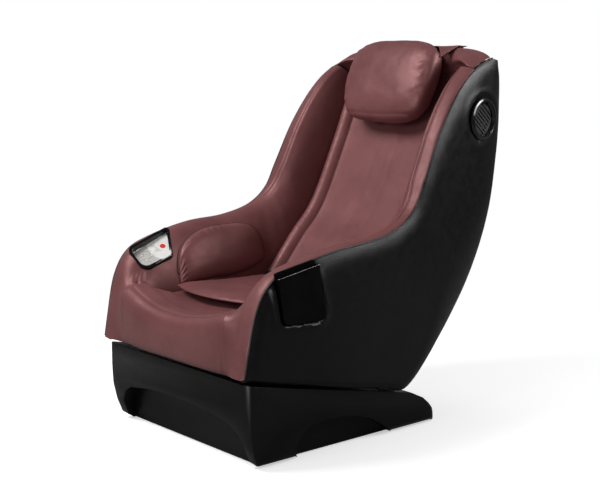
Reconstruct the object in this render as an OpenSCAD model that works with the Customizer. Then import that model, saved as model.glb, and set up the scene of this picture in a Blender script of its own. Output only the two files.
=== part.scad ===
/* [Overall] */
// Width over the two side panels
body_w = 762; // [740:2:800]
// Reach of the body in front of its centre
front_reach = 550; // [535:1:570]
// Reach of the back behind the centre
back_reach = 533; // [520:1:550]
// Height of the sewn edge along the arms
arm_z = 597; // [585:1:620]
// Height of the sewn edge at the top corners
shoulder_z = 1110; // [1080:1:1150]
// Height of the front lower edge of the body
hem_z = 258; // [252:1:270]

/* [Side panels] */
// Wall of the side panels
panel_wall = 12; // [8:1:16]
// How far the panel swells out beside its sewn edge
panel_crown = 10; // [4:1:16]
// Wall of the back and bottom covers
cover_wall = 6; // [4:1:10]
// How far the back cover swells to the rear
cover_crown = 18; // [8:1:26]

/* [Upholstery] */
// Thickness of the arm and wing padding
pad_thick = 26; // [20:1:34]
// How far the arm padding stands above its sewn edge
arm_crown = 8; // [4:1:12]
// Height of the seat cushion at its middle
seat_z = 402; // [396:1:410]
// Thickness of the seat cushion
seat_thick = 50; // [40:1:60]
// Thickness of the backrest pad behind its side rolls
back_pad = 60; // [50:1:64]
// Depth of the backrest middle behind the side rolls
back_dish = 26; // [16:1:32]
// Thickness of the hip pads at their middle
hip_thick = 26; // [18:1:30]
// Thickness of the seat flap
flap_thick = 20; // [14:1:24]
// Reach of the seat flap at its middle
flap_reach = 418; // [390:1:430]

/* [Head pillow] */
// Width of the head pillow
pillow_w = 372; // [330:2:400]
// Height of the head pillow
pillow_h = 282; // [250:2:290]
// Thickness of the head pillow
pillow_t = 112; // [100:2:120]
// Width of the flap that holds the pillow
strap_w = 350; // [280:2:370]

/* [Base] */
// How far the base stands inside the side panels
base_inset = 31; // [25:1:46]
// Wall of the moulded base
base_wall = 5; // [4:0.5:7]
// Gap between the base and the body at the front
base_gap = 8; // [6:1:16]
// Depth of the arched recesses
arch_depth = 48; // [36:1:52]
// Height of the front arch
arch_front_h = 143; // [120:1:160]
// Height of the side arches
arch_side_h = 98; // [80:1:104]

/* [Recline] */
// Radius of the recline pins
pin_r = 10; // [8:0.5:12]
// Radial running clearance of pins and shafts
run_gap = 0.06; // [0.03:0.01:0.1]
// Thickness of the steel side plates
plate_t = 4; // [3:0.5:6]
// Diameter of the frame tubes
tube_d = 25; // [20:1:30]
// Diameter of the actuator tube
actuator_d = 40; // [34:1:46]
// Diameter of the actuator rod
rod_d = 20; // [16:1:24]

/* [Massage mechanism] */
// Half distance between the two guide rails
rail_x = 150; // [140:1:160]
// Width of a guide rail across its run
rail_w = 26; // [22:1:30]
// Depth of the rail centre line behind the backrest rolls
rail_n = 140; // [136:1:144]
// Module of the rack and pinion
gear_module = 2.5; // [2:0.25:3]
// Teeth of each climbing pinion
pinion_teeth = 16; // [14:1:18]
// Radius of a massage roller
roller_r = 26; // [20:1:28]
// Width of a massage roller
roller_w = 32; // [24:1:36]
// Half distance between the kneading arms
knead_x = 58; // [50:1:64]
// Radius of the kneading shaft
knead_r = 9; // [7:0.5:11]

/* [Controls] */
// Length of the control bezel
bezel_l = 182; // [160:2:190]
// Width of the control bezel
bezel_w = 98; // [84:2:104]
// Radius of the power button
power_r = 9; // [7:0.5:11]
// Travel of the power button and keys
key_travel = 0.8; // [0.4:0.1:1.2]
// Inside depth of the phone pocket
pocket_depth = 16; // [13:1:20]
// Outer radius of a speaker ring
speaker_r = 65; // [56:1:70]

/* [Hidden] */
$fn = 48;

leather = [0.43, 0.27, 0.27];
black = [0.09, 0.09, 0.09];
plastic = [0.06, 0.06, 0.06];
steel = [0.45, 0.46, 0.48];
dark_steel = [0.20, 0.20, 0.22];
rubber = [0.12, 0.12, 0.12];
gap = 0.6;

// ---- curves -------------------------------------------------------------

function mix(a, b, s) = a + (b - a) * s;
function clamp01(s) = max(0, min(1, s));
function unit(v) = v / norm(v);

// Point of a smooth curve between control points i and i + 1
function curve_piece(p, i, s) =
  let (a = p[max(i - 1, 0)], b = p[i], c = p[i + 1], d = p[min(i + 2, len(p) - 1)])
  0.5 * (2 * b + (c - a) * s + (2 * a - 5 * b + 4 * c - d) * s * s
    + (3 * b - a - 3 * c + d) * s * s * s);

// Point at share t of the way through the control points p
function along(p, t) =
  let (k = clamp01(t) * (len(p) - 1), i = min(floor(k), len(p) - 2))
  curve_piece(p, i, k - i);

// Half width of the body is drawn in by this much at each station along Y
plan_pts = [
  [-front_reach - 10, 26], [-380, 9], [-222, 0], [0, 13], [200, 30],
  [330, 42], [454, 54], [back_reach + 27, 66]
];
plan_curve = [for (i = [0:40]) along(plan_pts, i / 40)];
function side_x(y) = body_w / 2 - panel_crown - lookup(y, plan_curve);

// Sewn upper edge of the side panels, [y, z], from the front hem to the top
edge_pts = [
  [-front_reach, hem_z], [-front_reach + 14, hem_z + 72],
  [-front_reach + 42, arm_z - 147], [-front_reach + 95, arm_z - 73],
  [-360, arm_z - 37], [-220, arm_z - 9], [-90, arm_z + 2], [20, arm_z + 30],
  [90, arm_z + 83], [135, arm_z + 168], [back_reach - 328, shoulder_z - 212],
  [back_reach - 243, shoulder_z - 98], [back_reach - 163, shoulder_z - 34],
  [back_reach - 79, shoulder_z]
];
// Lower and rear edge of the body, paired with the points above
hem_pts = [
  [-front_reach, hem_z], [-front_reach + 50, hem_z - 8],
  [-front_reach + 120, hem_z - 22], [-350, hem_z - 38], [-260, hem_z - 58],
  [-150, hem_z - 82], [-30, hem_z - 106], [75, hem_z - 122],
  [back_reach - 303, 243], [back_reach - 158, 402], [back_reach - 48, 605], [back_reach - 3, 823],
  [back_reach - 4, shoulder_z - 99], [back_reach - 33, shoulder_z - 12]
];
// Front line of the backrest rolls; the wings end this far behind it
pad_foot = 22;
back_pts = [
  [0, 424], [100, 540], [back_reach - 343, 640], [back_reach - 253, 820],
  [back_reach - 183, shoulder_z - 135], [back_reach - 141, shoulder_z - 52]
];
seat_floor = seat_z - seat_thick;
half_w = body_w / 2;
base_half_w = half_w - base_inset;
inner_pts = concat(
  [[-front_reach + 6, hem_z + 1], [-front_reach + 19, hem_z + 73],
    [-front_reach + 60, seat_z - 2], [-front_reach + 120, seat_floor + 4],
    [-345, seat_floor + 3], [-222, seat_floor + 3], [-100, seat_floor + 6]],
  [for (i = [0:5]) back_pts[i] + pad_foot * curve_normal(back_pts, i / 5)]);
// Inner half width at the same stations
front_half_w = half_w - 133;
wall_pts = [for (d = [1, 1, 1, -4, -10, -11, -10, -5, -3, -2, -2, 2, 14]) front_half_w + d];
spans = len(edge_pts) - 1;
function edge(t) = along(edge_pts, t);
function hem(t) = along(hem_pts, t);
function inner(t) = along(inner_pts, t * spans / (len(inner_pts) - 1));
function wall_x(t) = along(wall_pts, t * spans / (len(wall_pts) - 1));
function station(i) = i / spans;
cap_start = station(12);

// Outward normal of a curve in the YZ plane: down along the hem, rear up the back
function curve_normal(p, t) =
  let (d = unit(along(p, t + 0.01) - along(p, t - 0.01))) [d[1], -d[0]];

// Arc that rounds corner b of a polygon moved outwards by out
function corner_arc(a, b, c, r, out) =
  let (u = unit(a - b), w = unit(c - b), half = acos(u * w) / 2, bis = unit(u + w),
    rr = max(r + out, 0.5), o = b - bis * out / sin(half) + bis * rr / sin(half),
    first = atan2(-u[0], u[1]) + 180)
  [for (i = [0:5])
    let (v = first + (180 - 2 * half) * i / 5)
    o + rr * [cos(v), sin(v)]];
module rounded(corners, radii, out) {
  last = len(corners) - 1;
  polygon([for (i = [0:last])
    each corner_arc(corners[i == 0 ? last : i - 1], corners[i],
      corners[i == last ? 0 : i + 1], radii[i], out)]);
}

// ---- solids from rings --------------------------------------------------

// Closed solid through rings of points, all rings with equal counts. Where the
// rings are two facing rows, paired closes the ends with strips between them.
module loft(rings, paired = false) {
  count = len(rings[0]);
  last = len(rings) - 1;
  points = [for (ring = rings) each ring];
  sides = [for (i = [0:last - 1], j = [0:count - 1])
    let (k = (j + 1) % count, a = i * count, b = a + count)
    each [[a + j, b + j, b + k], [a + j, b + k, a + k]]];
  strip = [for (j = [0:count / 2 - 2])
    each [[j, j + 1, count - 2 - j], [j, count - 2 - j, count - 1 - j]]];
  ends = paired
    ? concat(strip, [for (f = strip) [for (j = [2:-1:0]) last * count + f[j]]])
    : [[for (j = [0:count - 1]) j], [for (j = [count - 1:-1:0]) last * count + j]];
  polyhedron(points, concat(sides, ends));
}

module mirrored_left_right(side) {
  if (side > 0)
    children();
  else
    mirror([1, 0, 0])
      children();
}

// Puts children in the frame with origin o and axes u, v and n
module in_frame(f) {
  multmatrix([
    [f[1][0], f[2][0], f[3][0], f[0][0]],
    [f[1][1], f[2][1], f[3][1], f[0][1]],
    [f[1][2], f[2][2], f[3][2], f[0][2]],
    [0, 0, 0, 1]])
    children();
}

// Frame [origin, u, v, normal] from a point and two directions
function frame_of(o, u, v) =
  let (uu = unit(u), n = unit(cross(uu, v)), vv = cross(n, uu)) [o, uu, vv, n];

// ---- side panels --------------------------------------------------------

roll_w = 60;
function chord(t) = norm(hem(t) - edge(t));
// Depth and width of the curl where the panel turns under or behind the body
function curl_x(t) = mix(22, 52, clamp01((t * spans - 6.6) / 1.4));
function curl_d(t) = min(mix(24, 165, clamp01((t * spans - 6.6) / 2)), 0.5 * chord(t));
function crown(t) = panel_crown * min(1, chord(t) / 120);
function rise(t, d) = crown(t) * (1 - pow(1 - clamp01(d / min(roll_w, 0.5 * chord(t))), 2));
function panel_point(t, d, x_less) =
  let (p = edge(t) + (hem(t) - edge(t)) * d / chord(t))
  [side_x(p[0]) + rise(t, d) - x_less, p[0], p[1]];
function curl_point(t, a, wall) =
  let (d = chord(t) - curl_d(t) + (curl_d(t) - wall) * sin(a))
  panel_point(t, d, wall + (curl_x(t) - wall) * (1 - cos(a)));
function panel_ring(t) =
  let (roll = min(roll_w, 0.5 * chord(t)), flat_end = chord(t) - curl_d(t),
    wall = min(panel_wall, 0.25 * chord(t)))
  concat(
    [for (s = [0, 0.12, 0.35, 0.7]) panel_point(t, roll * s, 0)],
    [for (s = [0, 0.5]) panel_point(t, mix(roll, flat_end, s), 0)],
    [for (a = [0, 25, 50, 70, 90]) curl_point(t, a, 0)],
    [for (a = [90, 60, 30, 0]) curl_point(t, a, wall)],
    [for (s = [0.5, 0]) panel_point(t, mix(roll, flat_end, s), wall)],
    [for (s = [0.35, 0]) panel_point(t, roll * s, wall)]);

edge_steps = 44;
edge_first = 0.015;
edge_stations = [for (i = [0:edge_steps]) mix(edge_first, 1, i / edge_steps)];

speaker_t = station(11);
speaker_share = 0.46;
function curl_drop(t, d) =
  curl_x(t) * (1 - sqrt(1 - pow(clamp01((d - chord(t) + curl_d(t)) / curl_d(t)), 2)));
function panel_share(t, s) = panel_point(t, s * chord(t), curl_drop(t, s * chord(t)));
speaker_frame = frame_of(
  panel_share(speaker_t, speaker_share),
  panel_share(speaker_t, speaker_share + 0.12) - panel_share(speaker_t, speaker_share - 0.12),
  panel_share(speaker_t + 0.03, speaker_share) - panel_share(speaker_t - 0.03, speaker_share));
speaker_neck_r = speaker_r - 9;

module side_panel(side) {
  color(black)
    mirrored_left_right(side)
      difference() {
        loft([for (t = edge_stations) panel_ring(t)]);
        in_frame(speaker_frame)
          translate([0, 0, -40])
            cylinder(h = 60, r = speaker_neck_r + 1);
        if (side > 0)
          in_pocket()
            translate([0, 0, -40])
              linear_extrude(height = 90)
                pocket_outline(gap);
        if (side < 0)
          bezel_space();
      }
}

// ---- covers between the side panels -------------------------------------

function cover_edge_x(t) = side_x(hem(t)[0]) + crown(t) - curl_x(t) - gap;
function cover_ring(t, swell, wall) =
  let (q = hem(t), n = curve_normal(hem_pts, t),
    xe = cover_edge_x(t))
  concat(
    [for (s = [-1, -0.75, -0.45, 0, 0.45, 0.75, 1])
      let (b = swell * (1 - s * s)) [s * xe, q[0] + n[0] * b, q[1] + n[1] * b]],
    [for (s = [1, 0.75, 0.45, 0, -0.45, -0.75, -1])
      let (b = swell * (1 - s * s) - wall) [s * xe, q[0] + n[0] * b, q[1] + n[1] * b]]);

cover_split = station(7.25);
pivot = [40, 98];
lug_slot = [plate_t + 12, 140, 90];
actuator_slot = [50, 130, 90];

module bottom_cover() {
  steps = 24;
  line = [for (i = [0:steps]) mix(0.046, cover_split - 0.004, i / steps)];
  color(black)
    difference() {
      intersection() {
        along_x(body_w / 2)
          polygon(concat([for (t = line) hem(t)], [for (i = [steps:-1:0])
            hem(line[i]) - cover_wall * curve_normal(hem_pts, line[i])]));
        linear_extrude(height = arm_z)
          polygon(concat([for (t = line) [cover_edge_x(t), hem(t)[0]]],
            [for (i = [steps:-1:0]) [-cover_edge_x(line[i]), hem(line[i])[0]]]));
      }
      for (s = [-1, 1])
        translate([s * (lug_x + plate_t / 2), pivot[0] + 4, 150])
          cube(lug_slot, center = true);
      translate([0, rod_end[0] + 22, rod_end[1] - 10])
        cube(actuator_slot, center = true);
    }
}

vent_rows = 7;
vent_pitch = 14;
vent_size = [150, 60, 6];
vent_at = [0, back_reach - 113, 430];

module back_cover() {
  color(black)
    difference() {
      loft([for (i = [0:26])
        let (t = mix(cover_split, 0.985, i / 26), s = clamp01((t - cover_split) * 5))
        cover_ring(t, mix(2, cover_crown, s), cover_wall)]);
      for (i = [0:vent_rows - 1])
        translate(vent_at + [0, 0, i * vent_pitch])
          cube(vent_size, center = true);
    }
}

// ---- arms and wings -----------------------------------------------------

function arm_band(t) = mix(24, 44, clamp01((t * spans - 7) / 2));
function arm_swell(t) = mix(arm_crown, arm_crown + 10, clamp01((t * spans - 9) / 3));
wall_power = 1;
// Point on the arm padding: a runs from 0 on the crown to 90 at the foot
function arm_point(t, a, inset) =
  let (p = edge(t), c = inner(t), reach = norm(c - p), q = (c - p) / reach,
    h = arm_swell(t), x0 = side_x(p[0]) - arm_band(t), xi = wall_x(t),
    x = x0 - (x0 - xi - inset) * sin(a),
    d = -h + (reach + h) * pow(1 - cos(a), wall_power) + inset * cos(a))
  [x, p[0] + q[0] * d, p[1] + q[1] * d];
function arm_edge(t, x_less, d) =
  let (p = edge(t), q = unit(inner(t) - p))
  [side_x(p[0]) - x_less, p[0] + q[0] * d, p[1] + q[1] * d];
function arm_ring(t) =
  let (h = arm_swell(t))
  concat(
    [arm_edge(t, 0.3, -gap), arm_edge(t, 5, -0.6 * h), arm_edge(t, 14, -0.95 * h)],
    [for (a = [0, 11, 22, 33, 44, 55, 66, 78, 90]) arm_point(t, a, 0)],
    [for (a = [90, 72, 54, 36, 18]) arm_point(t, a, pad_thick)],
    [arm_edge(t, panel_wall + 4, pad_thick - h), arm_edge(t, panel_wall + gap, pad_thick - h - 2),
      arm_edge(t, panel_wall + gap, -gap)]);

arm_stations = concat([for (t = edge_stations) if (t < cap_start - 0.006) t], [cap_start - 0.002]);
bezel_frame = frame_of([half_w - 81, -front_reach + 154, arm_z - 81], [0.02, 0.93, 0.38], [-0.88, 0.18, -0.47]);
bezel_depth = 20;
module bezel_space() {
  in_frame(bezel_frame)
    translate([0, 0, -bezel_depth - gap])
      linear_extrude(height = bezel_depth + 60)
        bezel_outline(gap);
}

module arm_wing(side) {
  color(leather)
    mirrored_left_right(side)
      difference() {
        loft([for (t = arm_stations) arm_ring(t)]);
        if (side < 0)
          bezel_space();
      }
}

// ---- seat ---------------------------------------------------------------

seat_half_w = front_half_w - 14;
seam_rise = 48;
seam_z = seat_z - 18;
function seam(s) = seam_z + seam_rise * s * s;
// Front of the seat, [x half width, y, z] for share s of the width
front_round = 12;
function front_section(s) =
  let (f = -front_reach - 7 + front_round * pow(abs(s), 5), b = -front_reach + 85, m = seam(s),
    w = front_half_w, r = -front_reach - 3)
  [[w, f + 11, hem_z + 1], [w, f + 2, hem_z + 16], [w, f, hem_z + 62],
    [w, f + 1, m - 42], [w, f + 12, m - 13], [w - 2, f + 37, m],
    [w - 7, f + 68, m + 5], [w - 12, b, m + 5],
    [w - 12, b, m - 17], [w - 8, r + 66, m - 18], [w - 4, r + 42, m - 24],
    [w - 1, r + 25, m - 42], [w, r + 22, hem_z + 62], [w, r + 22, hem_z + 1]];

front_half = [0.2, 0.4, 0.6, 0.77, 0.9, 0.97, 1];
front_stations = concat([for (i = [len(front_half) - 1:-1:0]) -front_half[i]], [0], front_half);
module seat_front() {
  color(leather)
    loft([for (s = front_stations)
      [for (p = front_section(s)) [s * p[0], p[1], p[2]]]], true);
}

cushion_front = -front_reach + 86;
cushion_back = -4;
function cushion_top(s, v) =
  let (front = seam(s) + 5, middle = seat_z + 5 * s * s + 3 * cos(180 * s))
  mix(front, middle, clamp01(v * 6)) - 8 * pow(abs(s), 14) - 4 * pow(v, 20);
module seat_cushion() {
  color(leather)
    loft([for (i = [0:10])
      let (v = i / 10, y = mix(cushion_front, cushion_back, v))
      concat(
        [for (s = [-1, -0.92, -0.7, -0.4, 0, 0.4, 0.7, 0.92, 1])
          [s * seat_half_w, y, cushion_top(s, v)]],
        [for (s = [1, -1]) [s * seat_half_w, y, seat_floor + 0.3]])]);
}

flap_hinge = [-8, seat_z + 18];
flap_rear_w = front_half_w - 52;
flap_front_w = front_half_w - 43;
flap_bow = 54;
flap_lift = 16;
function flap_y(s, v) = mix(flap_hinge[0],
  flap_hinge[0] - flap_reach + flap_bow * s * s, v);
function flap_under(s, v) = seat_z + 3.6 + flap_lift * pow(v, 3);
module seat_flap() {
  color(leather)
    loft([for (i = [0:12])
      let (v = i / 12, w = mix(flap_rear_w, flap_front_w, v),
        h = flap_thick * (1 - 0.62 * pow(v, 14)) * (1 - 0.4 * pow(1 - v, 14)))
      concat(
        [for (s = [-1, -0.97, -0.8, -0.45, 0, 0.45, 0.8, 0.97, 1])
          [s * w, flap_y(s, v), flap_under(s, v)
            + h * (1 - 0.55 * pow(abs(s), 16)) + 3 * (1 - s * s)]],
        [for (s = [1, 0.97, 0.8, 0.45, 0, -0.45, -0.8, -0.97, -1])
          [s * w, flap_y(s, v), flap_under(s, v)]])], true);
}

// Front depth of the backrest across its width: rolls at the sides, a dish between
function pad_half_w(t) = along([for (i = [7:12]) wall_pts[i]], t) - 0.7;
roll_profile = [
  [0, pad_foot], [7, 7], [18, 0], [34, 5], [50, back_dish - 4], [120, back_dish]
];
function back_ring(t) =
  let (p = along(back_pts, t), n = curve_normal(back_pts, t), w = pad_half_w(t),
    left = [for (r = roll_profile) [r[0] - w, r[1]]],
    row = concat(left, [[0, back_dish + 1]],
      [for (i = [len(left) - 1:-1:0]) [-left[i][0], left[i][1]]]))
  concat(
    [for (r = row) [r[0], p[0] + n[0] * r[1], p[1] + n[1] * r[1]]],
    [for (i = [len(row) - 1:-1:0])
      [row[i][0], p[0] + n[0] * back_pad, p[1] + n[1] * back_pad]]);
module backrest_pad() {
  color(leather)
    loft([for (i = [0:20]) back_ring(i / 20)], true);
}

// Hip pad: a D shaped cushion that lies on the inner face of the arm
hip_from = station(4.1);
hip_to = station(6.8);
hip_foot = 74;
hip_top = 26;
hip_clear = 1.6;
function arm_normal(t, a) =
  let (e = 3, up = arm_point(t, a - e, 0), down = arm_point(t, a + e, 0),
    fore = arm_point(t - 0.01, a, 0), aft = arm_point(t + 0.01, a, 0))
  -unit(cross(down - up, aft - fore));
function hip_point(t, tau, b, h) =
  let (a = mix(hip_foot - (hip_foot - hip_top) * pow(1 - pow(abs(tau), 2.5), 0.4), hip_foot, b))
  arm_point(t, a, 0) + arm_normal(t, a) * h;
function hip_ring(tau) =
  let (t = mix(hip_from, hip_to, (tau + 1) / 2), full = hip_thick * sqrt(1 - pow(abs(tau), 4)))
  concat(
    [for (b = [0, 0.06, 0.2, 0.45, 0.7, 0.88, 1])
      hip_point(t, tau, b, hip_clear + 0.6 + full * pow(1 - pow(abs(2 * b - 1), 4), 0.6))],
    [for (b = [0.93, 0.8, 0.65, 0.5, 0.35, 0.2, 0.07]) hip_point(t, tau, b, hip_clear)]);
module hip_pad(side) {
  color(leather)
    mirrored_left_right(side)
      loft([for (i = [0:14]) hip_ring(-0.985 + 1.97 * i / 14)]);
}

// ---- top cap and head pillow --------------------------------------------

// The cap fits between the side panels, and behind them between their rear curls
function cap_w(y) = side_x(y) - panel_wall - gap - 42 * clamp01((y - back_reach + 71) / 16);
crest = [back_reach - 88, shoulder_z + 32];
// Cap section at the middle and at its ends, from the front seam over the top
cap_mid = [
  [-30, -95], [-60, -74], [-84, -58], [-88, -44], [-66, -20], [-36, -4], [0, 0], [36, -10],
  [60, -34], [66, -58], [48, -58], [42, -44], [22, -30], [0, -24], [-24, -28], [-40, -46],
  [-44, -62], [-30, -80]
];
cap_end = [
  [-30, -93], [-52, -76], [-71, -64], [-76, -60], [-58, -54], [-34, -44], [8, -31], [36, -34],
  [54, -44], [62, -58], [46, -58], [38, -54], [20, -52], [0, -54], [-24, -62], [-38, -70],
  [-42, -74], [-30, -84]
];
// The cap is set back behind the head pillow
cap_set_back = 0.425;
function cap_ring(s) =
  let (k = pow(abs(s), 14), f = mix(cap_set_back, 1, clamp01((abs(s) - 0.8) * 5)))
  [for (i = [0:len(cap_mid) - 1])
    let (q = mix(cap_mid[i], cap_end[i], k), p = crest + [q[0] < 0 ? q[0] * f : q[0], q[1]])
    [s * cap_w(p[0]), p[0], p[1]]];
cap_half = [0.3, 0.6, 0.8, 0.87, 0.93, 0.975, 1];
cap_stations = concat([for (i = [len(cap_half) - 1:-1:0]) -cap_half[i]], [0], cap_half);
module top_cap() {
  color(leather)
    loft([for (s = cap_stations) cap_ring(s)], true);
}

pillow_tilt = 21;
pillow_at = [0, back_reach - 203, shoulder_z - 79];
pillow_square = 0.62;
function power_sin(a, e) = sign(sin(a)) * pow(abs(sin(a)), e);
function pillow_point(lat, lon) =
  let (c = pow(cos(lat), pillow_square), x = pillow_w / 2 * power_sin(lat, pillow_square),
    y = pillow_t / 2 * c * power_sin(lon + 90, 0.85),
    z = pillow_h / 2 * pow(cos(lat), 0.35) * power_sin(lon, 0.75))
  [x, y * cos(pillow_tilt) + z * sin(pillow_tilt), z * cos(pillow_tilt) - y * sin(pillow_tilt)];
module head_pillow() {
  color(leather)
    translate(pillow_at)
      loft([for (i = [0:20])
        [for (j = [0:23]) pillow_point(-86 + 172 * i / 20, j * 15)]]);
}

// Flap from the top of the pillow over the crest, as a bent sheet
strap_t = 2.4;
strap_path = [
  [-34, -1], [-16, 0.3], [0, 0.6], [18, -4.3], [36.4, -9.3], [48.5, -21.3], [60.6, -33.6], [64, -46]
];
module pillow_flap() {
  color(leather)
    loft([for (i = [-1:0.25:1])
      concat(
        [for (p = strap_path)
          [i * strap_w / 2, crest[0] + p[0], crest[1] + p[1]]],
        [for (j = [len(strap_path) - 1:-1:0])
          let (p = strap_path[j])
          [i * strap_w / 2, crest[0] + p[0], crest[1] + p[1] + strap_t]])]);
}

// ---- base ---------------------------------------------------------------

base_top_front = hem_z - base_gap - 2;
base_front = front_reach - 10;
base_bottom = 3;
base_rear = 219;
deck_edge = [100, 112];
// Arc of radius r about c from angle a to b, as points
function arc(c, r, a, b, n) = [for (i = [0:n]) c + r * [cos(mix(a, b, i / n)), sin(mix(a, b, i / n))]];

module base_side_outline(in) {
  polygon([
    [-base_front + 62 + in, base_bottom - in * 2], [-base_front + 40 + in, 20],
    [-base_front + 25 + in, 60], [-base_front + 13 + in, 120],
    [-base_front + 3 + in, 200], [-base_front + in, base_top_front - in],
    [deck_edge[0] - in * 0.5, deck_edge[1] - in], [154, 86 - in], [178 - in, 66 - in],
    [196 - in, 46 - in * 0.6], [208 - in, 24], [base_rear - in, base_bottom - in * 2]]);
}
module base_front_outline(in) {
  half = [for (p = [[32, base_bottom - in * 2], [14, 22], [9, 70], [3, 160], [0, base_top_front + 20]])
    [base_half_w - p[0] - in, p[1]]];
  polygon(concat(half, [for (i = [len(half) - 1:-1:0]) [-half[i][0], half[i][1]]]));
}
module base_plan_outline(in) {
  r = 34;
  w = base_half_w - in;
  polygon(concat(
    arc([w - r, -base_front + in + r], r, -90, 0, 8),
    arc([w - 18 - r, base_rear - in - r], r, 0, 90, 6),
    arc([-w + 18 + r, base_rear - in - r], r, 90, 180, 6),
    arc([-w + r, -base_front + in + r], r, 180, 270, 8)));
}
module along_x(half) {
  rotate([90, 0, 90])
    translate([0, 0, -half])
      linear_extrude(height = 2 * half)
        children();
}
module along_y(from, to) {
  translate([0, to, 0])
    rotate([90, 0, 0])
      linear_extrude(height = to - from)
        children();
}
module base_block(in) {
  intersection() {
    along_x(base_half_w + 5)
      base_side_outline(in);
    along_y(-base_front - 5, base_rear + 5)
      base_front_outline(in);
    translate([0, 0, -20])
      linear_extrude(height = base_top_front + 60)
        base_plan_outline(in);
  }
}
// Arch of the front recess, seen from the front
module front_arch_outline(out) {
  h = arch_front_h + out;
  w = base_half_w - 50;
  polygon(concat(
    [[-w - 7 - out, -9], [-w - out, 70 + out], [-w + 20 - out, h - 42], [-w + 55, h - 22]],
    [for (x = [-150:50:150]) [x, h - 8 * pow(x / 150, 2)]],
    [[w - 55, h - 22], [w - 20 + out, h - 42], [w + out, 70 + out], [w + 7 + out, -9]]));
}
// Arch of a side recess, seen from the side
module side_arch_outline(out) {
  h = arch_side_h + out;
  polygon([
    [-322 - out, -9], [-348 - out, 10], [-360 - out, 34], [-352 - out, h - 38],
    [-330 - out, h - 16], [-296, h - 3], [-240, h], [-188, h - 3], [-120, h - 14],
    [-65 + out, h - 36], [-20 + out, h - 62], [14 + out, 14], [40 + out, -9]]);
}
module recess(in, out) {
  along_y(-base_front - 6, -base_front + 62 + arch_depth - 40 + out)
    front_arch_outline(out);
  half = (arch_depth + out + in) / 2;
  for (s = [-1, 1])
    translate([s * (base_half_w + in - half), 0, 0])
      along_x(half)
        side_arch_outline(out);
}
inlet_at = [-120, base_rear - 3, 34];
wheel_at = [half_w - 113, 178, 27];
axle_r = 5;
wheel_r = 26;
wheel_w = 22;
module base_shell() {
  color(plastic)
    difference() {
      union() {
        difference() {
          base_block(0);
          base_block(base_wall);
          translate([-280, -base_front + 60, 60])
            cube([560, base_front + 40, 300]);
        }
        intersection() {
          base_block(0);
          recess(0, base_wall);
        }
      }
      recess(6, 0);
      for (s = [-1, 1])
        translate([s * (lug_x + plate_t / 2), pivot[0] + 6, 150])
          cube([plate_t + 10, 112, 80], center = true);
      for (s = [-1, 1])
        translate([s * wheel_at[0] - wheel_w / 2 - 3, wheel_at[1] - wheel_r - 6, -10])
          cube([wheel_w + 6, 2 * wheel_r + 40, wheel_at[2] + wheel_r + 14]);
      translate(inlet_at + [-26, -30, -inlet_h / 2])
        cube([inlet_w, 60, inlet_h]);
    }
}

lug_x = half_w - 89;
upright_t = 6;
upright_x = lug_x - 6 - upright_t;
beam_h = 26;
beam_w = 24;
beam_wall = 2;
module beam_section() {
  difference() {
    square([beam_w, beam_h], center = true);
    square([beam_w - 2 * beam_wall, beam_h - 2 * beam_wall], center = true);
  }
}
beam_front = 455;
beam_rear = 192;
beam_rows = [12 - beam_front, -138, 32, 158];
beam_x = lug_x - 56;
frame_z = 8;
actuator_foot = [-225, 45];
rod_end = [-210, 200];
module base_frame() {
  color(dark_steel)
    difference() {
      union() {
        for (s = [-1, 1])
          translate([s * beam_x, 0, frame_z + beam_h / 2])
            along_y(-beam_front, beam_rear)
              beam_section();
        for (y = beam_rows)
          translate([0, y, frame_z + beam_h / 2])
            rotate([0, 0, 90])
              along_y(-beam_x + 12, beam_x - 12)
                beam_section();
        for (s = [-1, 1]) {
          translate([s > 0 ? upright_x : -upright_x - upright_t, 0, 0])
            rotate([90, 0, 90])
              linear_extrude(height = upright_t)
                polygon(concat([[pivot[0] + 44, frame_z], [pivot[0] + 20, pivot[1]]],
                  arc(pivot, 20, 0, 180, 8), [[pivot[0] - 20, pivot[1]], [pivot[0] - 44, frame_z]]));
          translate([s > 0 ? beam_x + 12 : -upright_x, pivot[0] - 44, frame_z])
            cube([upright_x - beam_x - 12, 88, 6]);
          translate([s * 27 - 3, actuator_foot[0] - 16, frame_z + 6])
            cube([6, 32, actuator_foot[1] + 16 - frame_z - 6]);
        }
        translate([-40, actuator_foot[0] - 20, frame_z])
          cube([80, 100, 6]);
      }
      for (s = [-1, 1])
        translate([s > 0 ? upright_x - 1 : -upright_x - upright_t - 1, pivot[0], pivot[1]])
          rotate([0, 90, 0])
            cylinder(h = upright_t + 2, r = pin_r);
      translate([-40, actuator_foot[0], actuator_foot[1]])
        rotate([0, 90, 0])
          cylinder(h = 80, r = 6);
      translate([-beam_x - 13, wheel_at[1], wheel_at[2]])
        rotate([0, 90, 0])
          cylinder(h = 2 * beam_x + 26, r = axle_r);
    }
}

foot_r = 20;
module base_feet() {
  color(rubber)
    for (x = [-beam_x, beam_x], y = [-440, 120])
      translate([x, y, 0])
        difference() {
          union() {
            cylinder(h = frame_z - 2, r1 = foot_r - 2, r2 = foot_r);
            translate([0, 0, frame_z - 2])
              cylinder(h = 2, r = foot_r);
          }
          translate([0, 0, -1])
            cylinder(h = 4, r = 7);
        }
}

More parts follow.
